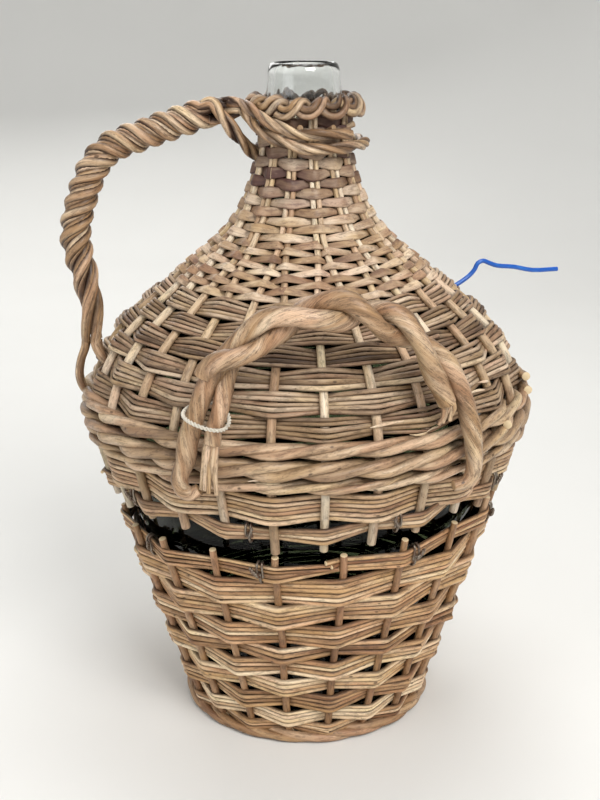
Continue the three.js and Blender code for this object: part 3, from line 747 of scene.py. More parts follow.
class RodPile:
    """Gathers rods into one mesh with each rod's grain, tint, stains, painted shade on its flanks and back,
    and cut ends.
    """

    CAP_INSET = 0.8
    CAP_RISE = 0.14
    CAP_TIP = 0.17
    # Where the painted shade starts on a rod's flanks, and how fast it spreads over its back.
    FLANK = 0.55
    BACK = 2.0
    TINTS = 0.6
    RIDGE_START = 6.28
    GRAIN_START = 4000
    GRAIN_ASIDE = 97

    def __init__(self, seed: int) -> None:
        """Starts an empty pile, whose seed sets its own spread of grain."""
        self.points: list[Array] = []
        self.faces: list[list[int]] = []
        self.grain: list[Array] = []
        self.tint: list[Array] = []
        self.stain_and_shade: list[Array] = []
        self.cut: list[Array] = []
        self.count = 0
        self.random = draws(seed)

    def _store(self, points: Array, grain: Array, tint: float, stain_and_shade: Array, cut: float) -> int:
        """Keeps points and their attributes, and gives the first one's number."""
        first = self.count
        self.points.append(points)
        self.grain.append(grain)
        self.tint.append(np.full(len(points), tint))
        self.stain_and_shade.append(stain_and_shade)
        self.cut.append(np.full(len(points), cut))
        self.count += len(points)
        return first

    def _cap(self, ring: Array, grain: Array, centre: Array, along: Array, tint: float, size: float) -> None:
        """Closes an end with a cut face whose edge is a little rounded."""
        sides = len(ring)
        inner = centre + (ring - centre) * self.CAP_INSET + along * size * self.CAP_RISE
        points = np.vstack([ring, inner, centre + along * size * self.CAP_TIP])
        spread = np.vstack([grain, grain * [1, self.CAP_INSET, self.CAP_INSET], grain[:1] * [1, 0, 0]])
        first = self._store(points, spread, tint, np.zeros(len(points)), 1.0)
        for side, quad in enumerate(ring_faces(2, sides, first)):
            after = (side + 1) % sides
            self.faces.append(quad)
            self.faces.append([first + sides + side, first + sides + after, first + 2 * sides])

    def add(
        self,
        path: Array,
        out: Array,
        wide: Number,
        thick: Number | None = None,
        *,
        sides: int = 10,
        tint: float | None = None,
        stain_and_shade: Number = 0.0,
        square: float = 1.0,
        lobes: Sequence[tuple[int, float]] = (),
        turn: float = 0.0,
        crevice_shade: Number = 0.0,
    ) -> None:
        """Adds one rod along a path.

        Args:
            path: Points along its middle, in millimetres.
            out: The direction of its outer side, one for all or one for each point.
            wide: Half its width across the outer side.
            thick: Half its thickness, where that differs.
            sides: Corners of its section.
            tint: Lighter above 0, darker below; drawn by lot if None.
            stain_and_shade: How much darker it is at each point, 0 to 1; on the neck handle's core it is
                painted shade.
            square: Below 1 the section is flatter than an ellipse.
            lobes: Ridges along it, each a count and a height share.
            turn: How fast grain and ridges turn, in radians per millimetre.
            crevice_shade: How dark the painted shade on its flanks and back is at each point; above 1 it
                spreads.
        """
        count = len(path)
        wide = np.broadcast_to(wide, count)
        thick = wide if thick is None else np.broadcast_to(thick, count)
        tint = self.random.normal(0, self.TINTS) if tint is None else tint
        tangent = unit(np.gradient(path, axis=0))
        out = unit(out - tangent * np.sum(out * tangent, axis=1, keepdims=True))
        side = np.cross(tangent, out)
        run = run_along(path)
        theta = np.linspace(0, TURN, sides, endpoint=False)[None, :]
        cos, sin = flattened(np.cos(theta), square), flattened(np.sin(theta), square)
        laid = theta + turn * run[:, None]
        ridge = np.ones((count, sides))
        for number, height in lobes:
            ridge = ridge + height * np.cos(number * laid + self.random.uniform(0, self.RIDGE_START))
        away = thick[:, None] * cos * ridge
        across = wide[:, None] * sin * ridge
        rings = path[:, None] + out[:, None] * away[..., None] + side[:, None] * across[..., None]
        shift = self.random.uniform(0, self.GRAIN_START)
        grain = np.stack(
            [
                np.broadcast_to(run[:, None] + shift, (count, sides)),
                thick[:, None] * np.cos(laid) + shift % self.GRAIN_ASIDE,
                wide[:, None] * np.sin(laid),
            ],
            axis=-1,
        )
        # Painted shade: the flanks, where rods lie against each other, and the back, which faces away from
        # the light, are darkened and added to the stains.
        flank = np.clip((np.abs(np.sin(theta)) - self.FLANK) / (1 - self.FLANK), 0, 1)
        hidden = np.clip(flank + np.clip(-self.BACK * np.cos(theta), 0, 1), 0, 1)
        painted_shade = np.broadcast_to(crevice_shade, count)[:, None] * hidden
        stained_and_shaded = (np.broadcast_to(stain_and_shade, count)[:, None] + painted_shade).ravel()
        first = self._store(rings.reshape(-1, 3), grain.reshape(-1, 3), tint, stained_and_shaded, 0.0)
        self.faces.extend(ring_faces(count, sides, first))
        self._cap(rings[0, ::-1], grain[0, ::-1], path[0], -tangent[0], tint, float(thick[0]))
        self._cap(rings[-1], grain[-1], path[-1], tangent[-1], tint, float(thick[-1]))

    def piece(self, name: str, finish: Finish, body: Body, nodes: Sequence[str] = ()) -> bpy.types.Object:
        """Makes the pile into a piece of the object.

        Args:
            name: The piece's name.
            finish: Its finish.
            body: The body that it moves with.
            nodes: The solids that it stands for.

        Returns:
            The new object.
        """
        made = mesh_object(name, np.vstack(self.points) * MM, self.faces, SHELF.get(finish))
        attributes = made.data.attributes
        grain = np.vstack(self.grain).astype(np.float32).ravel()
        attributes.new("grain", "FLOAT_VECTOR", "POINT").data.foreach_set("vector", grain)
        # The stains and the painted shade travel together in one attribute.
        for key, values in (("tint", self.tint), ("stain_and_shade", self.stain_and_shade), ("cut", self.cut)):
            flat = np.concatenate(values).astype(np.float32)
            attributes.new(key, "FLOAT", "POINT").data.foreach_set("value", flat)
        return seated(made, body, nodes)


def seated(made: bpy.types.Object, body: Body, nodes: Sequence[str]) -> bpy.types.Object:
    """Sets a piece on its body and the solids that it stands for.

    Args:
        made: The piece.
        body: The body that it moves with.
        nodes: The solids that it stands for.

    Returns:
        The same piece.
    """
    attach(made, body.value)
    if nodes:
        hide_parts(*nodes)
    LOG.info("piece %s, %d faces", made.name, len(made.data.polygons))
    return made


@dataclass
class Band:
    """Rods worked side by side, in front of one stake and behind the next."""

    wall: WickerWall
    angles: Array
    lengths: Array
    front: Array
    rods: int
    radius: float
    zig: float
    seed: int
    bend: float = 3.5
    squeeze: float = 0.8
    # Painted shade on each rod's flanks and back, where the rods lie against their neighbours.
    crevice_shade: float = 0.95
    grip: float = 0.0
    free_ends: int = 1
    breaks: tuple[tuple[int, float], ...] = ()
    sizes: tuple[float, float] = (0.86, 1.12)
    taper: tuple[float, float] = (1.08, 0.86)
    pitch: float = 2.14
    seat: float = 0.92
    play: float = 0.2
    wander: float = 0.22
    stray: float = 0.18
    tints: float = 0.95
    end_out: float = 1.45
    lap: float = 0.035
    lap_rise: float = 1.6
    lap_out: tuple[float, float] = (0.5, 0.1)
    paths: list[Array] = field(default_factory=list, init=False)

    def weave(self, pile: RodPile) -> None:
        """Adds the band's rods to a pile."""
        random = draws(self.seed)
        sizes = self.radius * random.uniform(*self.sizes, self.rods)
        levels = np.cumsum(sizes * self.pitch) - sizes * self.pitch / 2
        levels = levels - (levels[0] + levels[-1]) / 2
        shown = set(random.choice(self.rods, min(self.free_ends, self.rods), replace=False).tolist())
        broken = dict(self.breaks)
        for rod in range(self.rods):
            if rod in broken:
                angle, length, side = self.broken_course(math.radians(broken[rod]))
            else:
                angle, length, side = self.course(random, rod in shown)
            level = levels[rod] * np.where(side > 0, 1.0, self.squeeze)
            length = length + level - side * self.zig + random.normal(0, self.wander, len(side))
            _, height = self.wall.line(length)
            reach = self.wall.stake_size(height) * self.seat + self.play + sizes[rod] - self.grip
            offset = side * reach + random.normal(0, self.stray, len(side))
            path, out = self.wall.woven(angle, length, offset, self.bend)
            size = sizes[rod] * lerp(*self.taper, np.linspace(0, 1, len(path)))
            pile.add(path, out, size, tint=random.normal(0, self.tints), crevice_shade=self.crevice_shade)
            self.paths.append(path)

    def course(self, random: np.random.Generator, shown: bool) -> tuple[Array, Array, Array]:
        """Leads a rod once round from behind a stake.

        Args:
            random: Draws the stake.
            shown: Whether its end comes out in front of the last stake.

        Returns:
            The angle, length and side of each place that it passes.
        """
        count = len(self.angles)
        begin = random.choice(np.flatnonzero(~self.front))
        number = begin + np.arange(count + (2 if shown else 1))
        stake = number % count
        side = np.where(self.front[stake], 1.0, -1.0)
        if shown:
            side[-1] = self.end_out
        return self.angles[stake] + TURN * (number // count), self.lengths[stake], side

    def broken_course(self, start: float) -> tuple[Array, Array, Array]:
        """Leads a rod once round from an open end in front.

        Args:
            start: The angle of the open end.

        Returns:
            The angle, length and side of each place that it passes.
        """
        turns = np.mod(self.angles - start, TURN)
        order = np.argsort(turns)
        side = np.where(self.front[order], 1.0, -1.0)
        near = float(np.interp(start, self.angles, self.lengths, period=TURN))
        return (
            np.concatenate([[start], start + turns[order], [start + TURN + self.lap]]),
            np.concatenate([[near + self.lap_rise], self.lengths[order], [near - self.lap_rise]]),
            np.concatenate([self.lap_out[:1], side, self.lap_out[1:]]),
        )

    def at(self, angle: float) -> tuple[Array, float]:
        """Finds the band's middle and half its height at an angle."""
        found = []
        for path in self.paths:
            turn = np.unwrap(np.arctan2(path[:, 0], -path[:, 1]))
            target = angle + TURN * np.ceil((turn[0] - angle) / TURN)
            found.append([np.interp(target, turn, path[:, axis]) for axis in range(3)])
        points = np.array(found)
        high = np.linalg.norm(points.max(axis=0) - points.min(axis=0)) / 2 + self.radius
        return points.mean(axis=0), float(high)


@dataclass
class WireTie:
    """Two turns of wire round a band, the ends twisted together."""

    wire: float = 0.85
    play: float = 0.9
    tail: float = 8.0
    turns: float = 2.5
    overlap: float = 0.12
    slant: float = 1.2
    twist: float = 0.95
    loop_points: int = 40
    tail_points: int = 28
    sides: int = 6

    def add(self, pile: RodPile, band: Band, angle: float, lean: float) -> None:
        """Ties it once.

        Args:
            pile: Takes the wire.
            band: The band that is tied.
            angle: Where, from the front towards the right.
            lean: Which way the tail bends.
        """
        centre, high = band.at(angle)
        out = band.wall.out(band.wall.length_at(centre[2]), angle)
        side = around(angle + math.pi / 2, 1.0, 0.0)
        up = np.cross(side, out)
        away = band.radius + self.wire + self.play
        tall = high + self.wire + self.play
        theta = np.linspace(-self.overlap, TURN + self.overlap, self.loop_points)
        across = flattened(np.cos(theta), 0.7) * away
        above = flattened(np.sin(theta), 0.8) * tall
        for place in (-1.0, 1.0):
            slant = place * self.wire + np.linspace(-1, 1, self.loop_points) * self.slant * place
            loop = centre + across[:, None] * out + above[:, None] * up + slant[:, None] * side
            pile.add(loop, side, self.wire, sides=self.sides)
        share = np.linspace(0, 1, self.tail_points)[:, None]
        bow = centre + out * (away + self.wire)
        bow = bow + share * (out * 2.5 + side * lean * self.tail * 0.7 - up * self.tail * 0.35)
        bow = bow - share**2 * (up * self.tail * 0.5 + out * 1.5)
        for half in (0, math.pi):
            lay = half + share[:, 0] * self.turns * TURN
            path = bow + self.wire * self.twist * wound(lay, up, out)
            pile.add(path, out, self.wire, sides=self.sides)

    def row(
        self, band: Band, angles: Array, leans: tuple[float, float], name: str, body: Body, lot: Lot
    ) -> None:
        """Ties a band all round, each tie a piece of its own.

        Args:
            band: The band that is tied.
            angles: Where, from the front towards the right.
            leans: Which way the tails bend, by turns.
            name: The name of the solids that the ties stand for.
            body: The body that they move with.
            lot: Starts their random draws.
        """
        for index, angle in enumerate(angles):
            pile = RodPile(lot + index)
            self.add(pile, band, float(angle), leans[index % 2])
            pile.piece(f"{name}_{index + 1}_wire", SteelWire(), body, [f"{name}_{index + 1}"])


@dataclass
class LowerBasket:
    """The lower basket: base, foot border, stakes, nine bands of rods and the ties at its rim."""

    wall: WickerWall
    stakes: int = 20
    stake_angle: float = -8.7
    stake_foot: float = 5.0
    stake_over: tuple[float, float] = (2.0, 7.5)
    stake_sizes: tuple[float, float] = (2.65, 2.45)
    stake_tuck: float = 3.5
    stake_points: int = 26
    foot: float = 13.4
    rim: float = 166.0
    gap: float = 0.8
    tie_gap: float = 3.2
    tilt: float = 9.0
    dip: float = 3.0
    tie_angles: tuple[float, ...] = (-54, -13, 31, 67, 108, 144, 180, 216, 252)
    tie_leans: tuple[float, float] = (0.7, -1.0)
    row_rods: tuple[tuple[int, float, float, float], ...] = (
        (4, 1.8, 0.2, 0.0), (4, 1.9, 0.2, -2.0), (4, 1.95, -0.2, -3.0), (4, 2.1, 0.0, -3.5),
        (3, 2.35, -0.3, -5.0), (5, 1.95, -0.6, -6.0), (5, 2.1, -0.3, -3.0), (6, 1.9, -0.9, 0.0),
        (4, 1.6, 0.2, 0.0),
    )
    low_rods: tuple[int, float, float, float] = (3, 1.65, 0.2, -11.5)
    rim_breaks: tuple[tuple[int, float], ...] = ((2, 6.6), (3, 5.0))
    foot_route: tuple[tuple[float, float, float, float], ...] = (
        (0.10, 85.0, 7.0, 0.0), (-0.12, 86.6, 4.6, 0.0), (-0.40, 88.2, 3.6, 0.0), (-0.80, 90.0, 3.6, 0.0),
        (-1.30, 90.8, 4.6, 1.0), (-1.90, 89.8, 6.4, 1.0), (-2.40, 87.0, 7.4, 0.0), (-2.75, 84.0, 7.2, 0.0),
    )
    foot_sizes: tuple[float, float] = (3.4, 2.8)
    base_radius: float = 79.0
    base_middle: float = 6.2
    base_sticks: int = 8
    stick_radius: float = 2.3
    stick_points: int = 24
    ring_first: float = 9.0
    ring_pitch: float = 3.1
    ring_radius: float = 1.35
    ring_wave: float = 3.75

    @property
    def rows(self) -> int:
        """How many bands there are."""
        return len(self.row_rods)

    def stake_angles(self) -> Array:
        """Gives the stakes' angles."""
        return np.radians(self.stake_angle) + np.arange(self.stakes) * TURN / self.stakes

    def shift(self, length: Number, angle: Number) -> Number:
        """Gives how far the rim's slant moves a place along the outline."""
        low, high = self.wall.length_at(self.foot), self.wall.length_at(self.rim)
        share = np.clip((length - low) / (high - low), 0, 1.1)
        return share**1.5 * (self.tilt * np.sin(angle) - self.dip)

    def build(self) -> None:
        """Builds all pieces of the basket."""
        self.base()
        self.stakes_and_foot()
        rim = self.bands()[-1]
        angles = np.radians(self.tie_angles)
        WireTie().row(rim, angles, self.tie_leans, "basket_tie", Body.BASKET, Lot.BASKET_TIES)

    def base(self) -> None:
        """Weaves the base over its crossed sticks."""
        sticks = RodPile(Lot.BASE_STICKS)
        for stick in range(self.base_sticks):
            reach = np.linspace(-self.base_radius, self.base_radius, self.stick_points)
            bow = 0.15 * np.cos(reach / 12.0)
            path = around(math.pi * stick / self.base_sticks, reach, self.base_middle + bow)
            sticks.add(path, UPWARD, self.stick_radius, sides=8)
        sticks.piece("base_stick_rods", STRAW, Body.BASKET, ["base_sticks"])
        weave = RodPile(Lot.BASE_WEAVE)
        spokes = 2 * self.base_sticks
        theta = np.linspace(0, TURN, spokes * 8 + 1)
        for ring, radius in enumerate(np.arange(self.ring_first, self.base_radius - 1.0, self.ring_pitch)):
            wave = np.cos(theta * spokes / 2 + math.pi * ring)
            height = self.base_middle + self.ring_wave * flattened(wave, 0.7)
            path = around(theta + 0.1 * ring, radius + 0.3 * np.sin(3 * theta + ring), height)
            weave.add(path, UPWARD, self.ring_radius, sides=6)
        weave.piece("base_weave_rods", STRAW, Body.BASKET, ["base_weave"])

    def stakes_and_foot(self) -> None:
        """Sets the stakes and lays their lower ends along the foot."""
        pile = RodPile(Lot.BASKET_STAKES)
        random = draws(Lot.BASKET_STAKES + 1)
        step = TURN / self.stakes
        for angle in self.stake_angles():
            top = self.wall.length_at(self.rim + random.uniform(*self.stake_over))
            top = top + self.shift(top, angle)
            lengths = np.linspace(self.wall.length_at(self.stake_foot), top, self.stake_points)
            turn = angle + np.cumsum(random.normal(0, 0.0015, self.stake_points))
            _, height = self.wall.line(lengths)
            upright = self.wall.point(lengths, -self.stake_tuck * smooth(height, 10, 4), turn)
            size = np.linspace(*self.stake_sizes, self.stake_points) * random.uniform(0.92, 1.06)
            pile.add(upright, self.wall.out(lengths, turn), size, tint=random.normal(-0.3, 0.4))
            lift = random.uniform(-0.4, 0.6)
            route = [around(angle + t * step, r, z + up * lift) for t, r, z, up in self.foot_route]
            bent = curve_through(route, 7)
            size = np.linspace(*self.foot_sizes, len(bent)) * random.uniform(0.93, 1.06)
            # The foot rods carry light painted shade on their flanks and backs.
            pile.add(bent, unit(bent * LEVEL), size, tint=random.normal(0.5, 0.5), crevice_shade=0.3)
        pile.piece("basket_stake_rods", BROWN, Body.BASKET, ["basket_stakes"])

    def bands(self) -> list[Band]:
        """Weaves the nine bands."""
        low, high = self.wall.length_at(self.foot), self.wall.length_at(self.rim)
        gaps = (self.rows - 2) * self.gap + self.tie_gap
        tall = (high - low - gaps) / self.rows
        made = []
        for row in range(self.rows):
            last = row == self.rows - 1
            middle = low + row * (tall + self.gap) + tall / 2 + (self.tie_gap - self.gap if last else 0)
            pile = RodPile(Lot.BASKET_ROWS + row)
            if row == 0:
                self.band(middle, row + 1, self.low_rods).weave(pile)
            band = self.band(middle, row, self.row_rods[row])
            if last:
                band.breaks = self.rim_breaks
            band.weave(pile)
            pile.piece(f"basket_row_{row + 1}_rods", STRAW, Body.BASKET, [f"basket_row_{row + 1}"])
            made.append(band)
        return made

    def band(self, middle: float, row: int, sizes: tuple[int, float, float, float]) -> Band:
        """Plans one band.

        Args:
            middle: The length along the outline where the row lies.
            row: Its number, which sets the stakes that it passes in front.
            sizes: Its rods, their radius, how far it dips in front of a stake and how far it is moved up.

        Returns:
            The band, ready to be woven.
        """
        rods, radius, zig, moved = sizes
        angles = self.stake_angles()
        lengths = middle + moved + self.shift(middle, angles)
        front = (np.arange(self.stakes) + row) % 2 == 0
        seed = Lot.BASKET_BANDS + row
        return Band(self.wall, angles, lengths, front, rods, radius, zig, seed, squeeze=0.88, grip=1.2)


@dataclass
class GlassBottle:
    """The bottle: a blown body that fills the wicker, a neck and a fire-polished lip."""

    wall: WickerWall
    floor: float = 11.6
    thickness: float = 3.5
    neck_thickness: float = 5.0
    gap: float = 1.4
    widest: float = 130.4
    easing: float = 2.5
    corner: float = 16.0
    outline_top: float = 430.0
    neck_from: float = 380.0
    body_top: float = 425.0
    neck_foot: float = 428.0
    neck_slims: float = 446.0
    neck_radius: float = 26.3
    mouth_radius: float = 24.6
    mouth_height: float = 471.0
    lip_edge: float = 20.9
    lip_drop: float = 7.5
    lip_round: float = 1.3
    punt_rise: float = 4.0
    punt_radius: float = 60.0
    punt_rings: tuple[float, ...] = (0.0, 20.0, 40.0, 56.0)
    segments: int = 96

    def outline(self, wall: float, neck_wall: float) -> Array:
        """Gives the half outline, foot to lip.

        Args:
            wall: How far the body's line is moved in.
            neck_wall: How far the neck's line is moved in.

        Returns:
            The radius and height of each point.
        """
        ends = self.wall.length_at(self.floor + 2), self.wall.length_at(self.outline_top)
        lengths = np.linspace(*ends, 150)
        radius, height = self.wall.line(lengths)
        out_r, out_z = self.wall.facing(lengths)
        shift = -2 * self.wall.half(height) - self.gap - wall
        radius, height = radius + out_r * shift, height + out_z * shift
        cap = self.widest - wall
        radius = -self.easing * np.logaddexp(-radius / self.easing, -cap / self.easing)
        neck = self.neck_radius - neck_wall
        radius = np.where(height > self.neck_from, np.maximum(radius, neck), radius)
        keep = (height > self.floor + wall + self.corner) & (height < self.body_top)
        body = np.column_stack([radius[keep], height[keep]])
        turn = np.linspace(-math.pi / 2, 0, 12)
        foot_r = body[0, 0] - self.corner + self.corner * np.cos(turn)
        foot_z = self.floor + wall + self.corner * (1 + np.sin(turn))
        shoulder = self.mouth_height - self.lip_drop - 1.0
        top = np.linspace(self.neck_foot, shoulder, 14)
        slim = lerp(neck, self.mouth_radius - neck_wall, smooth(top, self.neck_slims, shoulder))
        return np.vstack([np.column_stack([foot_r, foot_z]), body, np.column_stack([slim, top])])

    def lip(self) -> Array:
        """Gives the rolled lip's outline from outside to inside."""
        turn = np.linspace(0, math.pi / 2, 9)
        slope = self.mouth_radius - self.lip_edge
        bore = self.mouth_radius - self.neck_thickness
        outside_r = self.lip_edge + slope * np.cos(turn)
        outside_z = self.mouth_height - self.lip_drop * (1 - np.sin(turn))
        inside_r = lerp(self.lip_edge, bore, np.sin(turn))
        inside_z = self.mouth_height - self.lip_round * (1 - np.cos(turn))
        outside, inside = np.column_stack([outside_r, outside_z]), np.column_stack([inside_r, inside_z])
        return np.vstack([outside, inside[1:]])

    def build(self) -> None:
        """Builds the bottle."""
        outer = self.outline(0.0, 0.0)
        inner = self.outline(self.thickness, self.neck_thickness)
        rings = np.array(self.punt_rings)
        punt = np.column_stack([rings, self.floor + self.punt_rise * (1 - (rings / self.punt_radius) ** 2)])
        inside = punt[::-1] + [0.0, self.thickness]
        profile = np.vstack([punt, outer, self.lip(), inner[::-1], inside])
        theta = np.linspace(0, TURN, self.segments, endpoint=False)
        points = np.vstack([around(theta, r, z) for r, z in profile[1:-1]])
        faces = ring_faces(len(profile) - 2, self.segments)
        bottom, top = len(points), len(points) + 1
        last = len(points) - self.segments
        for side in range(self.segments):
            after = (side + 1) % self.segments
            faces.append([bottom, after, side])
            faces.append([top, last + side, last + after])
        points = np.vstack([points, around(0.0, 0.0, profile[0, 1]), around(0.0, 0.0, profile[-1, 1])])
        finish = ClearGlass()
        made = mesh_object("glass_body", points * MM, faces, SHELF.get(finish))
        seated(made, Body.BOTTLE, ["glass_bottle"])


@dataclass
class WovenCover:
    """The cover: stakes, edge, wale, shoulder, neck cone and border, and the ties at its edge."""

    wall: WickerWall
    stakes: int = 28
    stake_angle: float = 4.4
    stake_top: float = 437.0
    stake_under: tuple[float, float] = (2.0, 8.0)
    stake_points: int = 60
    stake_pieces: int = 4
    seam: float = 200.0
    pair_start: float = 324.0
    pair_end: float = 366.0
    edge_rise: float = 6.0
    edge_drops: tuple[float, ...] = (24.1, 13.3)
    edge_rods: tuple[tuple[int, float, float, float, float], ...] = (
        (4, 1.55, -0.2, 0.6, 4.0), (3, 1.78, -0.7, 0.95, 9.0), (3, 1.78, -0.7, 0.95, 9.0),
    )
    shoulder_rods: tuple[tuple[int, float], ...] = (
        (5, 1.66), (5, 1.66), (4, 1.98), (5, 1.62), (5, 1.6), (5, 1.58),
    )
    shoulder_gaps: tuple[float, float] = (0.3, 0.8)
    shoulder_zig: float = 1.1
    shoulder_bend: float = 4.5
    wale_height: float = 238.0
    wale_tall: float = 31.2
    wale_rods: int = 4
    wale_strands: int = 3
    wale_levels: tuple[float, ...] = (0.0, -1.0, 1.0)
    wale_rounds: tuple[float, ...] = (2.4, 3.5, 3.0)
    wale_sink: float = 4.3
    wale_start: int = 9
    wale_bend: float = 9.0
    wale_ends: tuple[tuple[float, float], ...] = ((77.0, 258.0), (75.0, 250.0), (55.5, 242.0))
    cut_radius: float = 3.0
    cut_back: float = 0.16
    cut_out: float = 9.5
    cut_points: int = 8
    cone_height: float = 330.0
    cone_rows: int = 22
    cone_pitches: tuple[float, float] = (5.3, 6.6)
    cone_pairs: float = 362.0
    cone_darkens: tuple[float, float] = (372.0, 398.0)
    collar: float = 438.0
    ties: int = 9
    tie_first: float = -4.5
    tie_step: int = 3
    tie_leans: tuple[float, float] = (-0.8, 0.6)
    splinters: tuple[Place, ...] = (
        (15.0, 261.0, 22.0), (30.0, 253.0, 16.0), (33.0, 255.0, 12.0), (52.0, 268.0, 26.0),
        (55.0, 272.0, 18.0), (-31.0, 262.0, 20.0), (-12.0, 226.0, 17.0), (-9.0, 228.0, 12.0),
        (118.0, 262.0, 16.0), (172.0, 271.0, 15.0), (231.0, 258.0, 17.0), (283.0, 290.0, 13.0),
        (205.0, 226.0, 15.0),
    )
    border_low: tuple[Place, ...] = (
        (-0.12, 31.6, 438.0), (-0.06, 31.8, 443.6), (0.08, 34.4, 446.2), (0.24, 36.4, 442.2),
        (0.50, 38.2, 438.6), (0.86, 39.4, 438.0), (1.12, 40.0, 440.8), (1.30, 39.2, 444.6),
        (1.44, 36.4, 447.6), (1.60, 33.0, 448.0), (1.84, 30.2, 445.0),
    )
    border_high: tuple[Place, ...] = (
        (0.14, 30.8, 440.0), (0.20, 31.4, 446.0), (0.34, 34.2, 447.2), (0.54, 37.0, 444.6),
        (0.80, 38.2, 443.2), (1.02, 38.4, 444.4), (1.18, 37.2, 447.6), (1.34, 34.2, 449.2),
        (1.54, 31.6, 448.0), (1.80, 29.8, 444.5),
    )
    border_radii: tuple[float, float] = (2.45, 2.3)
    stubs: tuple[tuple[float, float], ...] = (
        (-34, 429.5), (-6, 430.5), (30, 430.0), (62, 431.0), (150, 430.0), (230, 429.5),
    )
    edge_line: tuple[tuple[float, float], ...] = (
        (-180, 179), (-90, 180), (-54, 184), (-43, 180), (-27, 185), (-13, 175),
        (1, 179), (12, 181), (23, 180), (35, 187), (57, 186), (90, 181), (180, 179),
    )

    def edge(self, angle: Number) -> Number:
        """Gives the height of the cover's lower edge at an angle."""
        turn = np.degrees(np.arctan2(np.sin(angle), np.cos(angle)))
        places, heights = zip(*self.edge_line)
        return np.interp(turn, places, heights)

    def pair_half(self, length: Number) -> Number:
        """Gives half the angle between the two stakes of a pair."""
        radius, height = self.wall.line(length)
        radius = radius - self.wall.half(height)
        apart = TURN * radius / self.stakes
        close = 2 * self.wall.stake_size(height) + 0.5
        return lerp(apart, close, smooth(height, self.pair_start, self.pair_end)) / (2 * radius)

    def pair_angle(self, pair: Array | int) -> Number:
        """Gives the angle of a pair's middle."""
        return math.radians(self.stake_angle) + (2 * pair + 0.5) / self.stakes * TURN

    def stake_angles(self, length: float) -> Array:
        """Gives all stakes' angles at a length."""
        number = np.arange(self.stakes)
        side = np.where(number % 2 == 0, -1.0, 1.0)
        return self.pair_angle(number // 2) + side * self.pair_half(length)

    @property
    def wale_bottom(self) -> float:
        """The length along the outline where the wale begins."""
        return self.wall.length_at(self.wale_height) - self.wale_tall / 2

    @property
    def wale_top(self) -> float:
        """The length along the outline where the wale ends."""
        return self.wale_bottom + self.wale_tall

    def build(self) -> None:
        """Builds all pieces of the cover."""
        self.stake_rods()
        tied = self.edge_bands()
        self.wale()
        self.shoulder()
        self.cone()
        self.border()
        self.torn_bark()
        steps = self.tie_step * np.arange(self.ties) + self.tie_first
        angles = math.radians(self.stake_angle) + steps / self.stakes * TURN
        WireTie().row(tied, angles, self.tie_leans, "cover_tie", Body.COVER, Lot.COVER_TIES)

    def stake_rods(self) -> None:
        """Sets the stakes from the edge to the neck, cut off below."""
        random = draws(Lot.COVER_STAKES)
        per_piece = self.stakes // self.stake_pieces
        at_seam = self.stake_angles(self.wall.length_at(self.seam))
        for quarter in range(self.stake_pieces):
            pile = RodPile(Lot.COVER_STAKES + 1 + quarter)
            for number in range(quarter * per_piece, (quarter + 1) * per_piece):
                foot = self.edge(at_seam[number]) - random.uniform(*self.stake_under)
                ends = self.wall.length_at(foot), self.wall.length_at(self.stake_top)
                lengths = np.linspace(*ends, self.stake_points)
                side = -1.0 if number % 2 == 0 else 1.0
                angle = self.pair_angle(number // 2) + side * self.pair_half(lengths)
                _, height = self.wall.line(lengths)
                size = self.wall.stake_size(height) * random.uniform(0.9, 1.0) + 0.15
                # The stakes get darker from 280 mm down to 215 mm and stay so below.
                stain_and_shade = 0.35 * smooth(height, 280, 215)
                path = self.wall.point(lengths, 0.0, angle)
                pile.add(path, self.wall.out(lengths, angle), size, stain_and_shade=stain_and_shade)
            name = f"cover_stake_rods_{quarter + 1}"
            pile.piece(name, CREAM, Body.COVER, [f"cover_stakes_{quarter + 1}"])

    def edge_bands(self) -> Band:
        """Weaves the bands below the wale and gives the lowest."""
        bands = []
        angles = self.stake_angles(self.wall.length_at(self.seam))
        middles = [self.wall.length_at(self.edge(angles)) + self.edge_rise]
        middles += [np.full(self.stakes, self.wale_bottom - drop) for drop in self.edge_drops]
        for row, (rods, radius, zig, squeeze, bend) in enumerate(self.edge_rods):
            front = (np.arange(self.stakes) + min(row, 1)) % 2 == 0
            band = Band(
                self.wall, angles, middles[row], front, rods, radius, zig, Lot.EDGE_BANDS + row, bend, squeeze
            )
            pile = RodPile(Lot.EDGE_ROWS + row)
            band.weave(pile)
            pile.piece(f"edge_row_{row + 1}_rods", EDGE, Body.COVER, [f"edge_row_{row + 1}"])
            bands.append(band)
        return bands[0]

    def wale(self) -> None:
        """Works the wale in rounds of three rods, each before two stakes and behind one, climbing."""
        passed = np.arange(self.stakes)
        phase = passed % self.wale_strands
        climb = np.array(self.wale_levels)[phase]
        for piece in range(self.wale_rods):
            pile = RodPile(Lot.WALE + piece)
            random = draws(Lot.WALE_SWAY + piece)
            for rod in range(piece, self.wale_strands * len(self.wale_rounds), self.wale_rods):
                layer, strand = divmod(rod, self.wale_strands)
                radius = self.wale_rounds[layer]
                middle = self.wale_bottom - self.wale_sink + 4 * sum(self.wale_rounds[:layer]) + 2 * radius
                number = self.wale_start + self.wale_strands * layer + strand + passed
                stake = number % self.stakes
                angle = self.stake_angles(middle)[stake] + TURN * (number // self.stakes)
                length = middle + climb * radius + random.normal(0, 0.35, self.stakes)
                reach = self.wall.stake_radius + 0.4 + radius
                offset = np.where(phase == 0, -reach, reach) + random.normal(0, 0.3, self.stakes)
                path, out = self.wall.woven(angle, length, offset, self.wale_bend)
                taper = lerp(1.1, 0.9, np.linspace(0, 1, len(path)))
                size = radius * random.uniform(0.96, 1.08) * taper
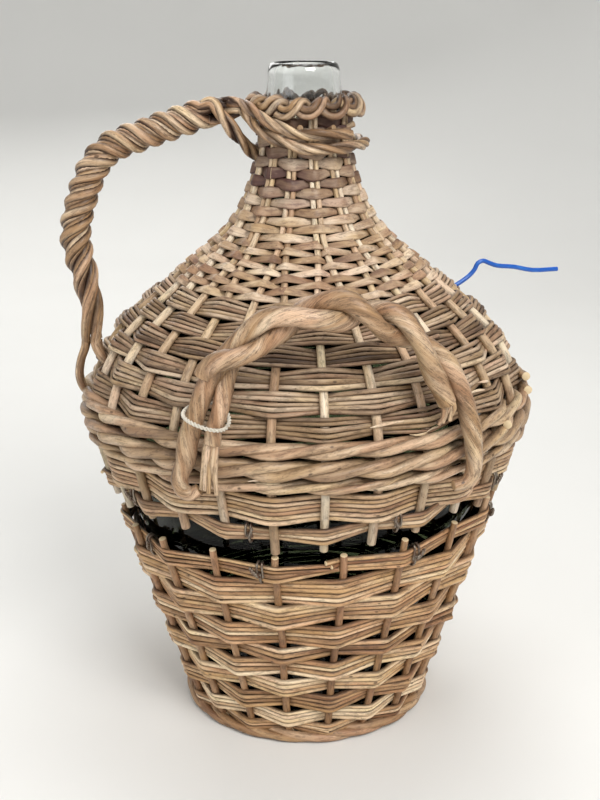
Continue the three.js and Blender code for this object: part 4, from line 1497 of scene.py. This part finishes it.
                # Each wale rod carries painted shade on its flanks and back.
                pile.add(path, out, size, sides=12, lobes=((3, 0.03),), turn=0.03, crevice_shade=0.5)
            if piece < len(self.wale_ends):
                self.cut_end(pile, *self.wale_ends[piece])
            pile.piece(f"wale_rod_{piece + 1}_rods", WALE, Body.COVER, [f"wale_rod_{piece + 1}"])

    def cut_end(self, pile: RodPile, turn: float, height: float) -> None:
        """Adds the cut end of a rod that comes out of the wale and looks to the front.

        Args:
            pile: Takes the rod.
            turn: Where it ends, in degrees.
            height: How high it ends.
        """
        length = self.wall.length_at(height)
        angle = math.radians(turn)
        places = angle + np.linspace(self.cut_back, 0.0, self.cut_points)
        path = self.wall.point(length, np.linspace(0.0, self.cut_out, self.cut_points), places)
        pile.add(path, self.wall.out(length, angle), self.cut_radius, sides=14, tint=-0.4)

    def shoulder(self) -> None:
        """Weaves the bands of the shoulder."""
        low = self.wale_top + self.shoulder_gaps[0]
        high = self.wall.length_at(self.cone_height) - self.shoulder_gaps[1]
        tall = (high - low) / len(self.shoulder_rods)
        for row, (rods, radius) in enumerate(self.shoulder_rods):
            middle = low + tall * (row + 0.5)
            angles = self.stake_angles(middle)
            front = (np.arange(self.stakes) + row) % 2 == 0
            lengths = np.full(self.stakes, middle)
            seed = Lot.SHOULDER_BANDS + row
            pile = RodPile(Lot.SHOULDER_ROWS + row)
            zig, bend = self.shoulder_zig, self.shoulder_bend
            Band(self.wall, angles, lengths, front, rods, radius, zig, seed, bend).weave(pile)
            pile.piece(f"shoulder_row_{row + 1}_rods", GREY, Body.COVER, [f"shoulder_row_{row + 1}"])

    def cone(self) -> None:
        """Weaves the neck cone of flat skeins, singly round the stakes and then round the pairs."""
        low = self.wall.length_at(self.cone_height)
        high = self.wall.length_at(self.collar) - 0.6
        pitches = lerp(*self.cone_pitches, smooth(np.linspace(0, 1, self.cone_rows), 0.25, 0.8))
        pitches = pitches * (high - low) / pitches.sum()
        pile = RodPile(Lot.CONE)
        random = draws(Lot.CONE + 1)
        begin = low
        for row, pitch in enumerate(pitches):
            self.skein(pile, random, begin + pitch / 2, pitch, row)
            begin += pitch
        pile.piece("cone_skeins", SKEIN, Body.COVER, ["cone_weave"])

    def skein(
        self, pile: RodPile, random: np.random.Generator, middle: float, pitch: float, row: int
    ) -> None:
        """Weaves one row of flat skein.

        Args:
            pile: Takes the skein.
            random: Draws its unevenness.
            middle: Its length along the outline.
            pitch: The height that the row takes.
            row: Its number from below.
        """
        radius, height = self.wall.line(middle)
        stake = self.wall.stake_size(height)
        if height > self.cone_pairs:
            angles = self.pair_angle(np.arange(self.stakes // 2))
            flat = self.pair_half(middle) * 0.9
        else:
            angles = self.stake_angles(middle)
            flat = stake * 0.45 / radius
        count = len(angles)
        number = random.integers(0, count) + np.arange(count + 1)
        place = number % count
        turn = angles[place] + TURN * (number // count)
        turn = np.stack([turn - flat, turn + flat], axis=1).ravel()
        sides = np.repeat(np.where((place + row) % 2 == 0, 1.0, -1.0), 2)
        reach = stake + 0.25 + self.wall.skein / 2
        offset = sides * reach + random.normal(0, 0.12, len(sides))
        length = middle - sides * 0.12 * pitch + np.repeat(random.normal(0, 0.25, count + 1), 2)
        length = length + random.normal(0, 0.3, len(sides))
        path, out = self.wall.woven(turn, length, offset, 2.2)
        passed = np.arange(len(turn))
        halfway = np.arange(self.wall.bend_points + 1) // self.wall.bend_points / 2
        knots = np.concatenate([[0, 0.5], (passed[1:-1, None] + halfway).ravel(), passed[-1:]])
        leaf = np.where(sides > 0, random.uniform(0.55, 1.15, len(sides)), 0.0)
        wide = pitch * lerp(0.42, 0.63, np.interp(knots, passed, leaf))
        patch = 0.5 + 0.5 * np.sin(np.interp(knots, passed, turn) * 2.0 + 0.6 * row)
        stain_and_shade = 0.12 + (0.35 + 0.6 * patch) * smooth(height, *self.cone_darkens)
        # Each skein carries its own staining, heavier towards the neck, and painted shade on its flanks and
        # back.
        pile.add(
            path, out, wide, self.wall.skein / 2 * 1.05, sides=12, square=0.62, crevice_shade=0.3,
            stain_and_shade=stain_and_shade * random.uniform(0.75, 1.2), tint=random.normal(0.1, 0.7),
        )

    def border(self) -> None:
        """Plaits the stake ends round the neck in hanging loops, a low one and a high one to each pair."""
        pile = RodPile(Lot.BORDER)
        random = draws(Lot.BORDER + 1)
        pairs = self.stakes // 2
        step = TURN / pairs
        for pair in range(pairs):
            for route, radius in zip((self.border_low, self.border_high), self.border_radii):
                angle = self.pair_angle(pair) + random.normal(0, 0.06) * step
                lift = random.normal(0, 0.7) + np.linspace(0.0, random.normal(0, 0.8), len(route))
                places = [around(angle + t * step, r, z + up) for (t, r, z), up in zip(route, lift)]
                path = curve_through(places, 8)
                size = radius * random.uniform(0.85, 1.15) * np.linspace(1.05, 0.9, len(path))
                stain_and_shade = random.uniform(0.05, 0.55)
                # Each loop gets a random amount of staining, and painted shade on its flanks and back.
                pile.add(
                    path, unit(path * LEVEL), size, size * 0.82, stain_and_shade=stain_and_shade, lobes=((2, 0.08), (3, 0.05)),
                    turn=0.08, crevice_shade=0.6,
                )
        for turn, height in self.stubs:
            angle = math.radians(turn)
            root = around(angle, 31.5, height - 2.0)
            tip = around(angle + 0.03, 37.4, height + 0.5)
            path = root + np.linspace(0, 1, 5)[:, None] * (tip - root)
            pile.add(path, UPWARD, 2.1, stain_and_shade=0.3)
        pile.piece("neck_border_rods", HANDLE, Body.COVER)

    def torn_bark(self) -> None:
        """Adds the pale splinters that stand off the rods of the shoulder and the wale."""
        pile = RodPile(Lot.BARK)
        random = draws(Lot.BARK + 1)
        share = np.linspace(0, 1, 10)
        for turn, height, size in self.splinters:
            length = self.wall.length_at(height)
            radius, _ = self.wall.line(length)
            places = math.radians(turn) + random.choice([-1.0, 1.0]) * share * size / radius
            rise = random.uniform(-2.5, 2.5) * share + random.uniform(-1.5, 1.5) * np.sin(share * math.pi)
            lift = self.wall.stake_radius + 0.6 + random.uniform(2.5, 4.0) * share**0.8
            path = self.wall.point(length + rise, lift, places)
            wide = random.uniform(0.6, 1.0) * (0.2 + 0.8 * np.sin(math.pi * share**0.7))
            out = self.wall.out(length + rise, places)
            pile.add(path, out, wide, wide * 0.4, sides=8, square=0.7, tint=random.uniform(0.1, 0.9))
        pile.piece("torn_bark_strips", CREAM, Body.COVER)


@dataclass
class LiftHandle:
    """A lifting handle of two thick willow strands twisted together, its ends laid over the wale."""

    name: str
    centre: float
    half_angle: float = 30.0
    bottom: float = 222.4
    rise: float = 115.0
    reach: float = 171.2
    lean: float = 11.0
    strand: float = 6.1
    apart: float = 6.2
    turns: float = 1.5
    twist_from: float = 0.95
    twist_to: float = 2.62
    squareness: float = 0.84
    points: int = 110
    hook: tuple[Place, ...] = (
        (-30.2, 167.5, 222.0), (-31.6, 169.5, 219.4), (-33.3, 171.0, 221.6), (-33.9, 171.8, 229.0),
    )
    tuck: tuple[Place, ...] = ((31.2, 171.5, 224.5), (29.4, 171.0, 219.8), (26.8, 169.0, 219.0))
    over_from: float = 0.66
    over_to: float = 1.04
    over_height: float = 1.75
    leg_from: float = 0.3
    leg_to: float = 0.86
    leg_points: int = 26
    ridges: tuple[tuple[int, float], ...] = ((2, 0.05), (3, 0.04), (5, 0.035), (9, 0.02))
    ridge_turn: float = 0.07
    strip_places: tuple[float, ...] = (-3.9, -1.9, 0.2, 2.1, 4.0)
    strip_root: float = 8.0
    strip_sizes: tuple[float, float] = (2.3, 1.4)

    def middle(self, turn: Array) -> Array:
        """Gives the handle's middle line."""
        swing = np.cos(turn)
        swing = np.where(swing > 0, np.abs(swing) ** self.squareness, swing)
        rise = np.sin(turn)
        angle = math.radians(self.centre) - math.radians(self.half_angle) * swing
        return around(angle, self.reach - self.lean * rise**2, self.bottom + self.rise * rise)

    def axes(self, turn: Array) -> tuple[Array, Array, Array, Array]:
        """Gives the middle line, and the directions along it, across it and outward."""
        point = self.middle(turn)
        along = unit(self.middle(turn + 1e-3) - self.middle(turn - 1e-3))
        across = unit(np.cross(along, unit(point * LEVEL)))
        return point, along, across, np.cross(across, along)

    def laid(self, turn: Array, half: float) -> tuple[Array, Array]:
        """Gives a strand's path and its outward direction.

        Args:
            turn: Places along the handle, 0 at the left foot and pi at the right.
            half: 0 for the first strand, pi for the second.

        Returns:
            The path and the outward direction.
        """
        point, _, across, out = self.axes(turn)
        lay = math.pi - smooth(turn, self.twist_from, self.twist_to) * self.turns * TURN + half
        wide = self.apart * (1.0 + 0.35 * smooth(turn, 0.7, 0.1))
        shift = (wide * np.cos(lay))[:, None] * across + (self.apart * np.sin(lay))[:, None] * out
        return point + shift, out

    def placed(self, angle: float, reach: float, height: float) -> Array:
        """Places a point by its angle from the handle's centre, its reach and its height."""
        return around(math.radians(self.centre + angle), reach, height)

    def build(self) -> None:
        """Builds both strands."""
        self.first_strand()
        self.second_strand()

    def rod(self, pile: RodPile, path: Array, out: Array, size: Number, tint: float) -> None:
        """Adds a thick strand, a little uneven, with its ridges, turned grain and painted shade on its flanks
        and back.

        Args:
            pile: Takes the strand.
            path: Its middle line.
            out: Its outward direction.
            size: Its radius.
            tint: Lighter above 0, darker below.
        """
        run = np.arange(len(path)) * 2.0
        size = size * (1.0 + 0.05 * np.sin(run / 15.0 + tint * 20) + 0.03 * np.sin(run / 6.3))
        lobes, turn = self.ridges, self.ridge_turn
        # Painted shade lies on the strand's flanks and back.
        pile.add(path, out, size, sides=24, tint=tint, turn=turn, crevice_shade=0.4, lobes=lobes)

    def first_strand(self) -> None:
        """Builds the strand that hooks under at the left and frays at the right."""
        pile = RodPile(Lot.LIFT_HANDLE)
        body, out = self.laid(np.linspace(0.16, math.pi - 0.5, self.points), 0.0)
        hook = curve_through([*(self.placed(*spot) for spot in self.hook), body[0], body[3]], 6)[:-7]
        path = np.vstack([hook, body])
        side = np.vstack([np.tile(out[0], (len(hook), 1)), out])
        size = self.strand * lerp(0.62, 1.0, smooth(np.linspace(0, 1, len(path)), 0, 0.14))
        self.rod(pile, path, side, size, 0.15)
        self.strips(pile, body[-1], body[-1] - body[-3], out[-1], 15.0, -6.0, 1)
        pile.piece(f"{self.name}_strand_1_rod", HANDLE, Body.COVER, [f"{self.name}_strand_1"])

    def second_strand(self) -> None:
        """Builds the strand that ends over the first at the left and turns under at the right."""
        pile = RodPile(Lot.LIFT_HANDLE + 1)
        turn = np.linspace(self.over_from, math.pi - 0.1, self.points)
        path, out = self.laid(turn, math.pi)
        point, _, across, front = self.axes(turn)
        share = smooth(turn, self.over_from, self.over_to)
        over = lerp(-self.over_height * self.apart, self.apart, share)
        above = self.over_height * self.apart * np.sin(math.pi * np.clip(share * 0.9 + 0.1, 0, 1))
        cross = point + over[:, None] * across + above[:, None] * front
        path = np.where((turn < self.over_to)[:, None], cross, path)
        tuck = curve_through([path[-4], path[-1], *(self.placed(*spot) for spot in self.tuck)], 6)[7:]
        whole = np.vstack([path, tuck])
        side = np.vstack([out, np.tile(out[-1], (len(tuck), 1))])
        size = self.strand * (1 - 0.5 * smooth(np.linspace(0, 1, len(whole)), 0.84, 1.0))
        self.rod(pile, whole, side, size, -0.15)
        self.leg(pile)
        pile.piece(f"{self.name}_strand_2_rod", HANDLE, Body.COVER, [f"{self.name}_strand_2"])

    def leg(self, pile: RodPile) -> None:
        """Adds the second strand's left leg, which comes out from under the first and frays below."""
        turn = np.linspace(self.leg_from, self.leg_to, self.leg_points)
        leg, out = self.laid(turn, math.pi)
        _, _, across, front = self.axes(turn)
        under = self.apart * smooth(turn, 0.5, self.leg_to)[:, None]
        leg = leg - 1.3 * under * across - 0.9 * under * front
        self.rod(pile, leg, out, np.linspace(5.0, 5.4, self.leg_points), 0.0)
        self.strips(pile, leg[0], leg[0] - leg[2], out[0], 33.0, 3.0, 4)

    def strips(
        self, pile: RodPile, root: Array, along: Array, out: Array, tail: float, lean: float, seed: int
    ) -> None:
        """Splits a strand's end into thin strips.

        Args:
            pile: Takes the strips.
            root: Where they leave the strand.
            along: The way that they go on.
            out: The outward direction there.
            tail: How long the longest is.
            lean: How far they lean to the right.
            seed: Sets their unevenness.
        """
        down = unit(along[None])[0]
        side = np.cross(out, down)
        bow = around(math.radians(self.centre) + math.pi / 2, lean, 0.0)
        random = draws(seed)
        for place in self.strip_places:
            far = tail * random.uniform(0.72, 1.0)
            begin = root - down * self.strip_root + side * place * 0.5 + out * random.uniform(0.0, 2.2)
            first = root + side * place * 0.8 + out * random.uniform(0.2, 1.6)
            middle = root + down * far * 0.5 + side * place * 1.1 + bow * 0.3
            middle = middle + out * random.uniform(-0.6, 1.2)
            end = root + down * far + side * place * random.uniform(1.1, 1.6) + bow
            end = end + out * random.uniform(-1.5, 1.0)
            path = curve_through([begin, first, middle, end], 6)
            size = np.linspace(*self.strip_sizes, len(path)) * random.uniform(0.85, 1.1)
            tint = random.uniform(0.1, 1.3)
            # The strips carry painted shade on their flanks and backs.
            pile.add(path, out, size, size * 0.7, square=0.8, tint=tint, crevice_shade=0.4)


@dataclass
class NeckHandle:
    """The neck handle: three strands of three rods, twisted, whose upper tails wrap the neck."""

    angle: float = -81.0
    foot: float = 284.0
    top: float = 443.0
    foot_reach: float = 151.0
    end_reach: float = 60.0
    shoulder: float = 142.5
    route: tuple[tuple[float, float], ...] = (
        (1.115, 0.214), (1.2, 0.459), (1.13, 0.629), (0.935, 0.815), (0.56, 0.897), (0.194, 0.958),
    )
    points: int = 110
    turns: float = 6.2
    loose: float = 0.28
    crest: float = 0.93
    crest_turn: float = 0.75
    lay_radius: float = 6.0
    rod: float = 3.2
    tail_rod: float = 2.35
    rods: tuple[tuple[float, float], ...] = ((-2.5, -0.3), (2.5, -0.3), (0.2, 1.9))
    tails: tuple[Place, ...] = ((300.0, 437.5, 4.5), (128.0, 446.5, 0.0))
    tail_pitch: float = 52.0
    tail_from: float = 0.955
    tail_begin: float = 12.0
    tail_step: float = 4.0
    tail_led: float = 42.0
    tail_drop: float = 20.0
    tail_sunk: float = 88.0
    tail_reach: tuple[float, float] = (43.8, 41.3)
    tail_closes: tuple[float, float] = (40.0, 90.0)
    tail_close: float = 0.74
    dive_thin: float = 0.4
    foot_slim: float = 0.8
    # Painted shade on the rods' flanks and backs: at the foot and up the handle, over how many points it
    # deepens, and how much less lies on the tails.
    crevice_shades: tuple[float, float] = (0.55, 1.5)
    crevice_shade_run: int = 34
    tail_crevice_shade: float = 0.7
    dive: tuple[Place, ...] = (
        (0.12, 64.0, 445.0), (0.20, 56.0, 434.0), (0.20, 47.0, 422.0), (0.05, 37.0, 413.0),
        (-0.10, 28.0, 406.0),
    )
    outer_leg: tuple[tuple[float, float], ...] = (
        (153.0, 242.0), (159.0, 249.0), (161.4, 258.0), (159.8, 269.0),
    )
    outer_bend: tuple[float, float] = (0.8, 279.0)
    inner_leg: tuple[tuple[float, float], ...] = ((136.0, 262.0), (143.0, 269.0), (147.6, 277.0))

    @property
    def plane(self) -> float:
        """The angle of the plane that the handle stands in."""
        return math.radians(self.angle)

    def middle_line(self) -> Array:
        """Gives the handle's middle line, evenly spaced from foot to neck."""
        knots = [(self.foot_reach, self.foot)]
        for out, up in self.route:
            knots.append((lerp(self.end_reach, self.shoulder, out), lerp(self.foot, self.top, up)))
        knots.append((self.end_reach, self.top))
        fine = curve_through([around(self.plane, r, z) for r, z in knots], 30)
        run = run_along(fine)
        even = np.linspace(0, run[-1], self.points)
        return np.column_stack([np.interp(even, run, fine[:, axis]) for axis in range(3)])

    def tail(self, span: float, height: float, lead: float) -> Array:
        """Gives a tail's middle line round the neck.

        Args:
            span: How far round it goes, in degrees.
            height: Where it begins to sink.
            lead: How much higher it leaves the handle.

        Returns:
            Points along the line.
        """
        turn = np.arange(self.tail_begin, span + 0.1, self.tail_step)
        led = lead * smooth(turn, self.tail_led, self.tail_begin)
        drop = self.tail_drop * smooth(turn, 0, self.tail_sunk) - led
        reach = lerp(*self.tail_reach, smooth(turn, *self.tail_closes))
        return around(self.plane + np.radians(turn), reach, height - drop)

    def build(self) -> None:
        """Builds the three strands and the core that they lie on."""
        line = self.middle_line()
        side = around(self.plane + math.pi / 2, 1.0, 0.0)
        along = unit(np.gradient(line, axis=0))
        up = unit(np.cross(along, side[None]))
        share = np.linspace(0, 1, len(line))
        rate = lerp(self.loose, 1.0, smooth(share, 0.05, 0.42))
        turned = self.turns * np.cumsum(rate) / len(rate)
        turned = turned - np.interp(self.crest, share, turned) + self.crest_turn
        full = lerp(0.74, 1.0, smooth(share, 0.02, 0.36))
        first, second = (self.tail(*sizes) for sizes in self.tails)
        for node, offset, tail in ((1, 1 / 3, first), (2, -1 / 3, second), (3, 0.0, None)):
            lay = (offset + turned) * TURN
            out = wound(lay, side, up)
            rope = line + self.lay_radius * full[:, None] * out
            pile = RodPile(Lot.NECK_HANDLE + node)
            self.strand(pile, rope, wound(lay, up, -side), out, full, tail)
            # The core, which shows only between the strands, is darkened as painted shade.
            if node == 1:
                pile.add(line[4:-6], up[4:-6], self.rod, sides=8, stain_and_shade=0.6)
            pile.piece(f"neck_handle_strand_{node}_rods", HANDLE, Body.COVER, [f"neck_handle_strand_{node}"])

    def centre_line(self, rope: Array, tail: Array | None) -> tuple[Array, int]:
        """Leads a strand on from the handle, round the neck or down into the weave.

        Args:
            rope: The strand's middle line in the handle.
            tail: Its middle line round the neck, or None where it dives into the weave.

        Returns:
            The whole middle line, and how many of its points lie in the handle.
        """
        if tail is None:
            count = len(rope) - 6
            dive = [around(self.plane + turn, reach, height) for turn, reach, height in self.dive]
            blend = curve_through([rope[count - 4], rope[count], *dive], 6)[6:]
            return np.vstack([rope[:count], blend]), count
        count = int(len(rope) * self.tail_from) - 1
        blend = curve_through([rope[count - 2], rope[count], tail[0], tail[1]], 8)[8:-8]
        return np.vstack([rope[:count], blend, tail[1:]]), count

    def strand(
        self, pile: RodPile, rope: Array, lie: Array, out: Array, full: Array, tail: Array | None
    ) -> None:
        """Lays a strand's three rods, and its tail if it has one.

        Args:
            pile: Takes the rods.
            rope: The strand's middle line in the handle.
            lie: The direction in which its rods lie side by side.
            out: Its outward direction.
            full: How thick the handle is there, as a share.
            tail: Its middle line round the neck.
        """
        foot = self.leg(rope[0])
        centre, count = self.centre_line(rope, tail)
        beyond = len(centre) - count
        normal, binormal = carried_frame(centre)
        aside = np.sum(lie[:count] * binormal[:count], axis=1)
        phase = np.unwrap(np.arctan2(aside, np.sum(lie[:count] * normal[:count], axis=1)))
        run = run_along(centre)
        extra = (run[count:] - run[count - 1]) / self.tail_pitch * TURN
        phase = np.concatenate([phase, phase[-1] + extra])
        thin = np.concatenate([np.zeros(count), smooth(np.arange(beyond), 0, 10)])
        if tail is None:
            thin = thin * self.dive_thin
        full = np.concatenate([full[:count], np.ones(beyond)])
        size = lerp(self.rod, self.tail_rod, thin) * full
        far = np.vstack([out[:count], np.tile(out[count - 1], (beyond, 1))])
        # Along the leg the rods' side that is clear of painted shade faces this way.
        seen = np.tile(around(self.plane + 0.7, 1.0, 0.0), (len(foot), 1))
        clear = np.zeros(len(foot))
        for across, outward in self.rods:
            apart = math.hypot(across, outward) * lerp(1.0, self.tail_close, thin) * full
            place = phase + math.atan2(-outward, across)
            shift = apart[:, None] * wound(place, normal, binormal)
            path = np.vstack([foot + shift[0], centre + shift])
            below = np.linspace(size[0] * self.foot_slim, size[0], len(foot))
            radius = np.concatenate([below, size])
            radius = radius * pile.random.uniform(0.92, 1.06)
            # Each rod's painted shade lies on its flanks and on the back away from hint: light at the foot,
            # deeper up the handle, less on the tails.
            hint = np.vstack([seen, lerp(far, unit(shift), thin[:, None])])
            risen = smooth(np.arange(len(path)), len(foot), len(foot) + self.crevice_shade_run)
            deep = lerp(*self.crevice_shades, risen) - self.tail_crevice_shade * np.concatenate([clear, thin])
            pile.add(path, hint, radius, sides=14, lobes=((2, 0.04), (3, 0.04)), turn=0.05, crevice_shade=deep)

    def leg(self, start: Array) -> Array:
        """Leads a strand from the handle's foot over the shoulder into the weave.

        Args:
            start: Where the strand leaves the twisted handle.

        Returns:
            The leg's middle line, from its hidden end up to the handle.
        """
        reach = math.hypot(start[0], start[1])
        turn = math.atan2(start[0], -start[1])
        knots = list(self.inner_leg)
        if reach > self.foot_reach:
            beside, height = self.outer_bend
            knots = [*self.outer_leg, (reach + beside, height)]
        knots.append((reach, start[2]))
        return curve_through([around(turn, r, z) for r, z in knots], 6)[:-1]


@dataclass
class StringLoop:
    """A loop of two-ply string round the front handle's left leg."""

    handle: LiftHandle
    place: float = 0.44
    reach: float = 14.2
    ply: float = 0.72
    pitch: float = 5.2
    sag: float = 3.2
    ripple: float = 1.2
    closed: float = 0.985
    points: int = 320

    def build(self) -> None:
        """Builds the loop."""
        centre, along, across, out = (each[0] for each in self.handle.axes(np.array([self.place])))
        theta = np.linspace(0.0, TURN * self.closed, self.points)
        sag = self.sag * np.sin(theta) + self.ripple * np.cos(2 * theta)
        line = centre + wound(theta, across, out) * self.reach - sag[:, None] * along
        normal, side = carried_frame(line)
        pile = RodPile(Lot.STRING)
        for half in (0.0, math.pi):
            lay = half + theta * self.reach / self.pitch * TURN
            pile.add(line + self.ply * 0.85 * wound(lay, normal, side), normal, self.ply, sides=6)
        pile.piece("string_loop_plies", CottonString(), Body.COVER, ["string_loop"])


@dataclass
class CoatedWire:
    """A length of blue coated wire caught in the shoulder behind the right side."""

    radius: float = 1.7
    route: tuple[Place, ...] = (
        (107.5, 33.4, 306.2), (113.6, 35.3, 309.3), (118.1, 36.7, 312.0), (122.5, 38.1, 315.2),
        (126.1, 39.2, 319.3), (128.3, 39.9, 323.6), (132.2, 41.1, 325.2), (137.2, 42.7, 323.2),
        (143.4, 44.6, 320.8), (156.8, 48.7, 318.9), (171.3, 53.2, 315.4), (191.3, 59.5, 314.8),
    )

    def build(self) -> None:
        """Builds the wire."""
        path = curve_through(self.route, 3)
        normal, _ = carried_frame(path)
        pile = RodPile(Lot.BLUE_WIRE)
        pile.add(path, normal, self.radius, sides=14)
        made = pile.piece("coated_wire_length", BlueCoating(), Body.COVER, ["coated_wire"])


@dataclass(frozen=True)
class Lamp:
    """A soft square light."""

    name: str
    place: Place
    size: float
    power: float
    colour: Place

    def build(self, target: Place) -> None:
        """Adds the light and aims it at a target."""
        data = bpy.data.lights.new(self.name, "AREA")
        data.size = self.size
        data.energy = self.power
        data.color = self.colour
        made = bpy.data.objects.new(self.name, data)
        made.location = self.place
        aim = Vector(target) - Vector(self.place)
        made.rotation_euler = aim.to_track_quat("-Z", "Y").to_euler()
        made.visible_camera = False
        bpy.context.scene.collection.objects.link(made)


@dataclass
class Studio:
    """The pale cove, the soft lights and the camera, in metres."""

    eye: Place = (-0.004, -0.90, 0.521)
    pitch: float = 17.87
    roll: float = -0.35
    lens: float = 58.0
    sensor: float = 36.0
    cove_radius: float = 2.6
    cove_bend: float = 1.2
    cove_top: float = 3.2
    cove_segments: int = 96
    fill: float = 0.24
    target: Place = (0.0, 0.0, 0.22)
    lamps: tuple[Lamp, ...] = (
        Lamp("key_light", (0.6, -1.35, 1.5), 0.9, 30.0, (1.0, 0.985, 0.965)),
        Lamp("fill_light", (-1.35, -1.0, 0.9), 1.1, 7.0, (0.96, 0.98, 1.0)),
        Lamp("top_light", (0.1, 0.35, 1.7), 0.9, 10.0, (1.0, 0.99, 0.97)),
        Lamp("back_light", (-0.5, 1.6, 1.1), 1.1, 10.0, (1.0, 0.99, 0.97)),
    )

    def build(self) -> None:
        """Sets the camera, the cove and the lights."""
        self.camera()
        self.cove()
        self.world()
        for lamp in self.lamps:
            lamp.build(self.target)

    def camera(self) -> None:
        """Places the camera at the photograph's viewing angle."""
        data = bpy.data.cameras.new("photo_camera")
        data.lens = self.lens
        data.sensor_width = self.sensor
        made = bpy.data.objects.new("photo_camera", data)
        made.location = self.eye
        turned = Matrix.Rotation(math.radians(90.0 - self.pitch), 3, "X")
        made.rotation_euler = (turned @ Matrix.Rotation(math.radians(self.roll), 3, "Z")).to_euler()
        bpy.context.scene.collection.objects.link(made)
        bpy.context.scene.camera = made
        bpy.context.scene.view_settings.view_transform = "Standard"

    def cove(self) -> None:
        """Builds a round floor that curves up into its wall."""
        flat = self.cove_radius - self.cove_bend
        turn = np.linspace(0, math.pi / 2, 12)
        bend = np.column_stack([flat + self.cove_bend * np.sin(turn), self.cove_bend * (1 - np.cos(turn))])
        floor = [[0.02, 0.0], [0.6, 0.0], [flat * 0.9, 0.0]]
        profile = np.vstack([floor, bend, [[self.cove_radius, self.cove_top]]])
        theta = np.linspace(0, TURN, self.cove_segments, endpoint=False)
        points = np.vstack([around(theta, r, z) for r, z in profile])
        faces = [list(range(self.cove_segments)), *ring_faces(len(profile), self.cove_segments)]
        mesh_object("studio_cove", points, faces, PalePaper().make())

    def world(self) -> None:
        """Fills the shadows with even light."""
        world = bpy.data.worlds.new("studio_light")
        world.use_nodes = True
        background = world.node_tree.nodes["Background"]
        background.inputs["Color"].default_value = (1.0, 1.0, 1.0, 1.0)
        background.inputs["Strength"].default_value = self.fill
        bpy.context.scene.world = world


def main() -> None:
    """Builds the scene in order and reports each part."""
    logging.basicConfig(level=logging.INFO, format="%(name)s: %(message)s")
    wall = WickerWall()
    front = LiftHandle("front_handle", 6.5)
    rear = LiftHandle("rear_handle", 186.5)
    parts = (
        Studio(), CoatedWire(), LowerBasket(wall), GlassBottle(wall), WovenCover(wall),
        front, rear, StringLoop(front), NeckHandle(),
    )
    for part in parts:
        part.build()
        LOG.info("built %s", type(part).__name__)


if __name__ == "__main__":
    main()
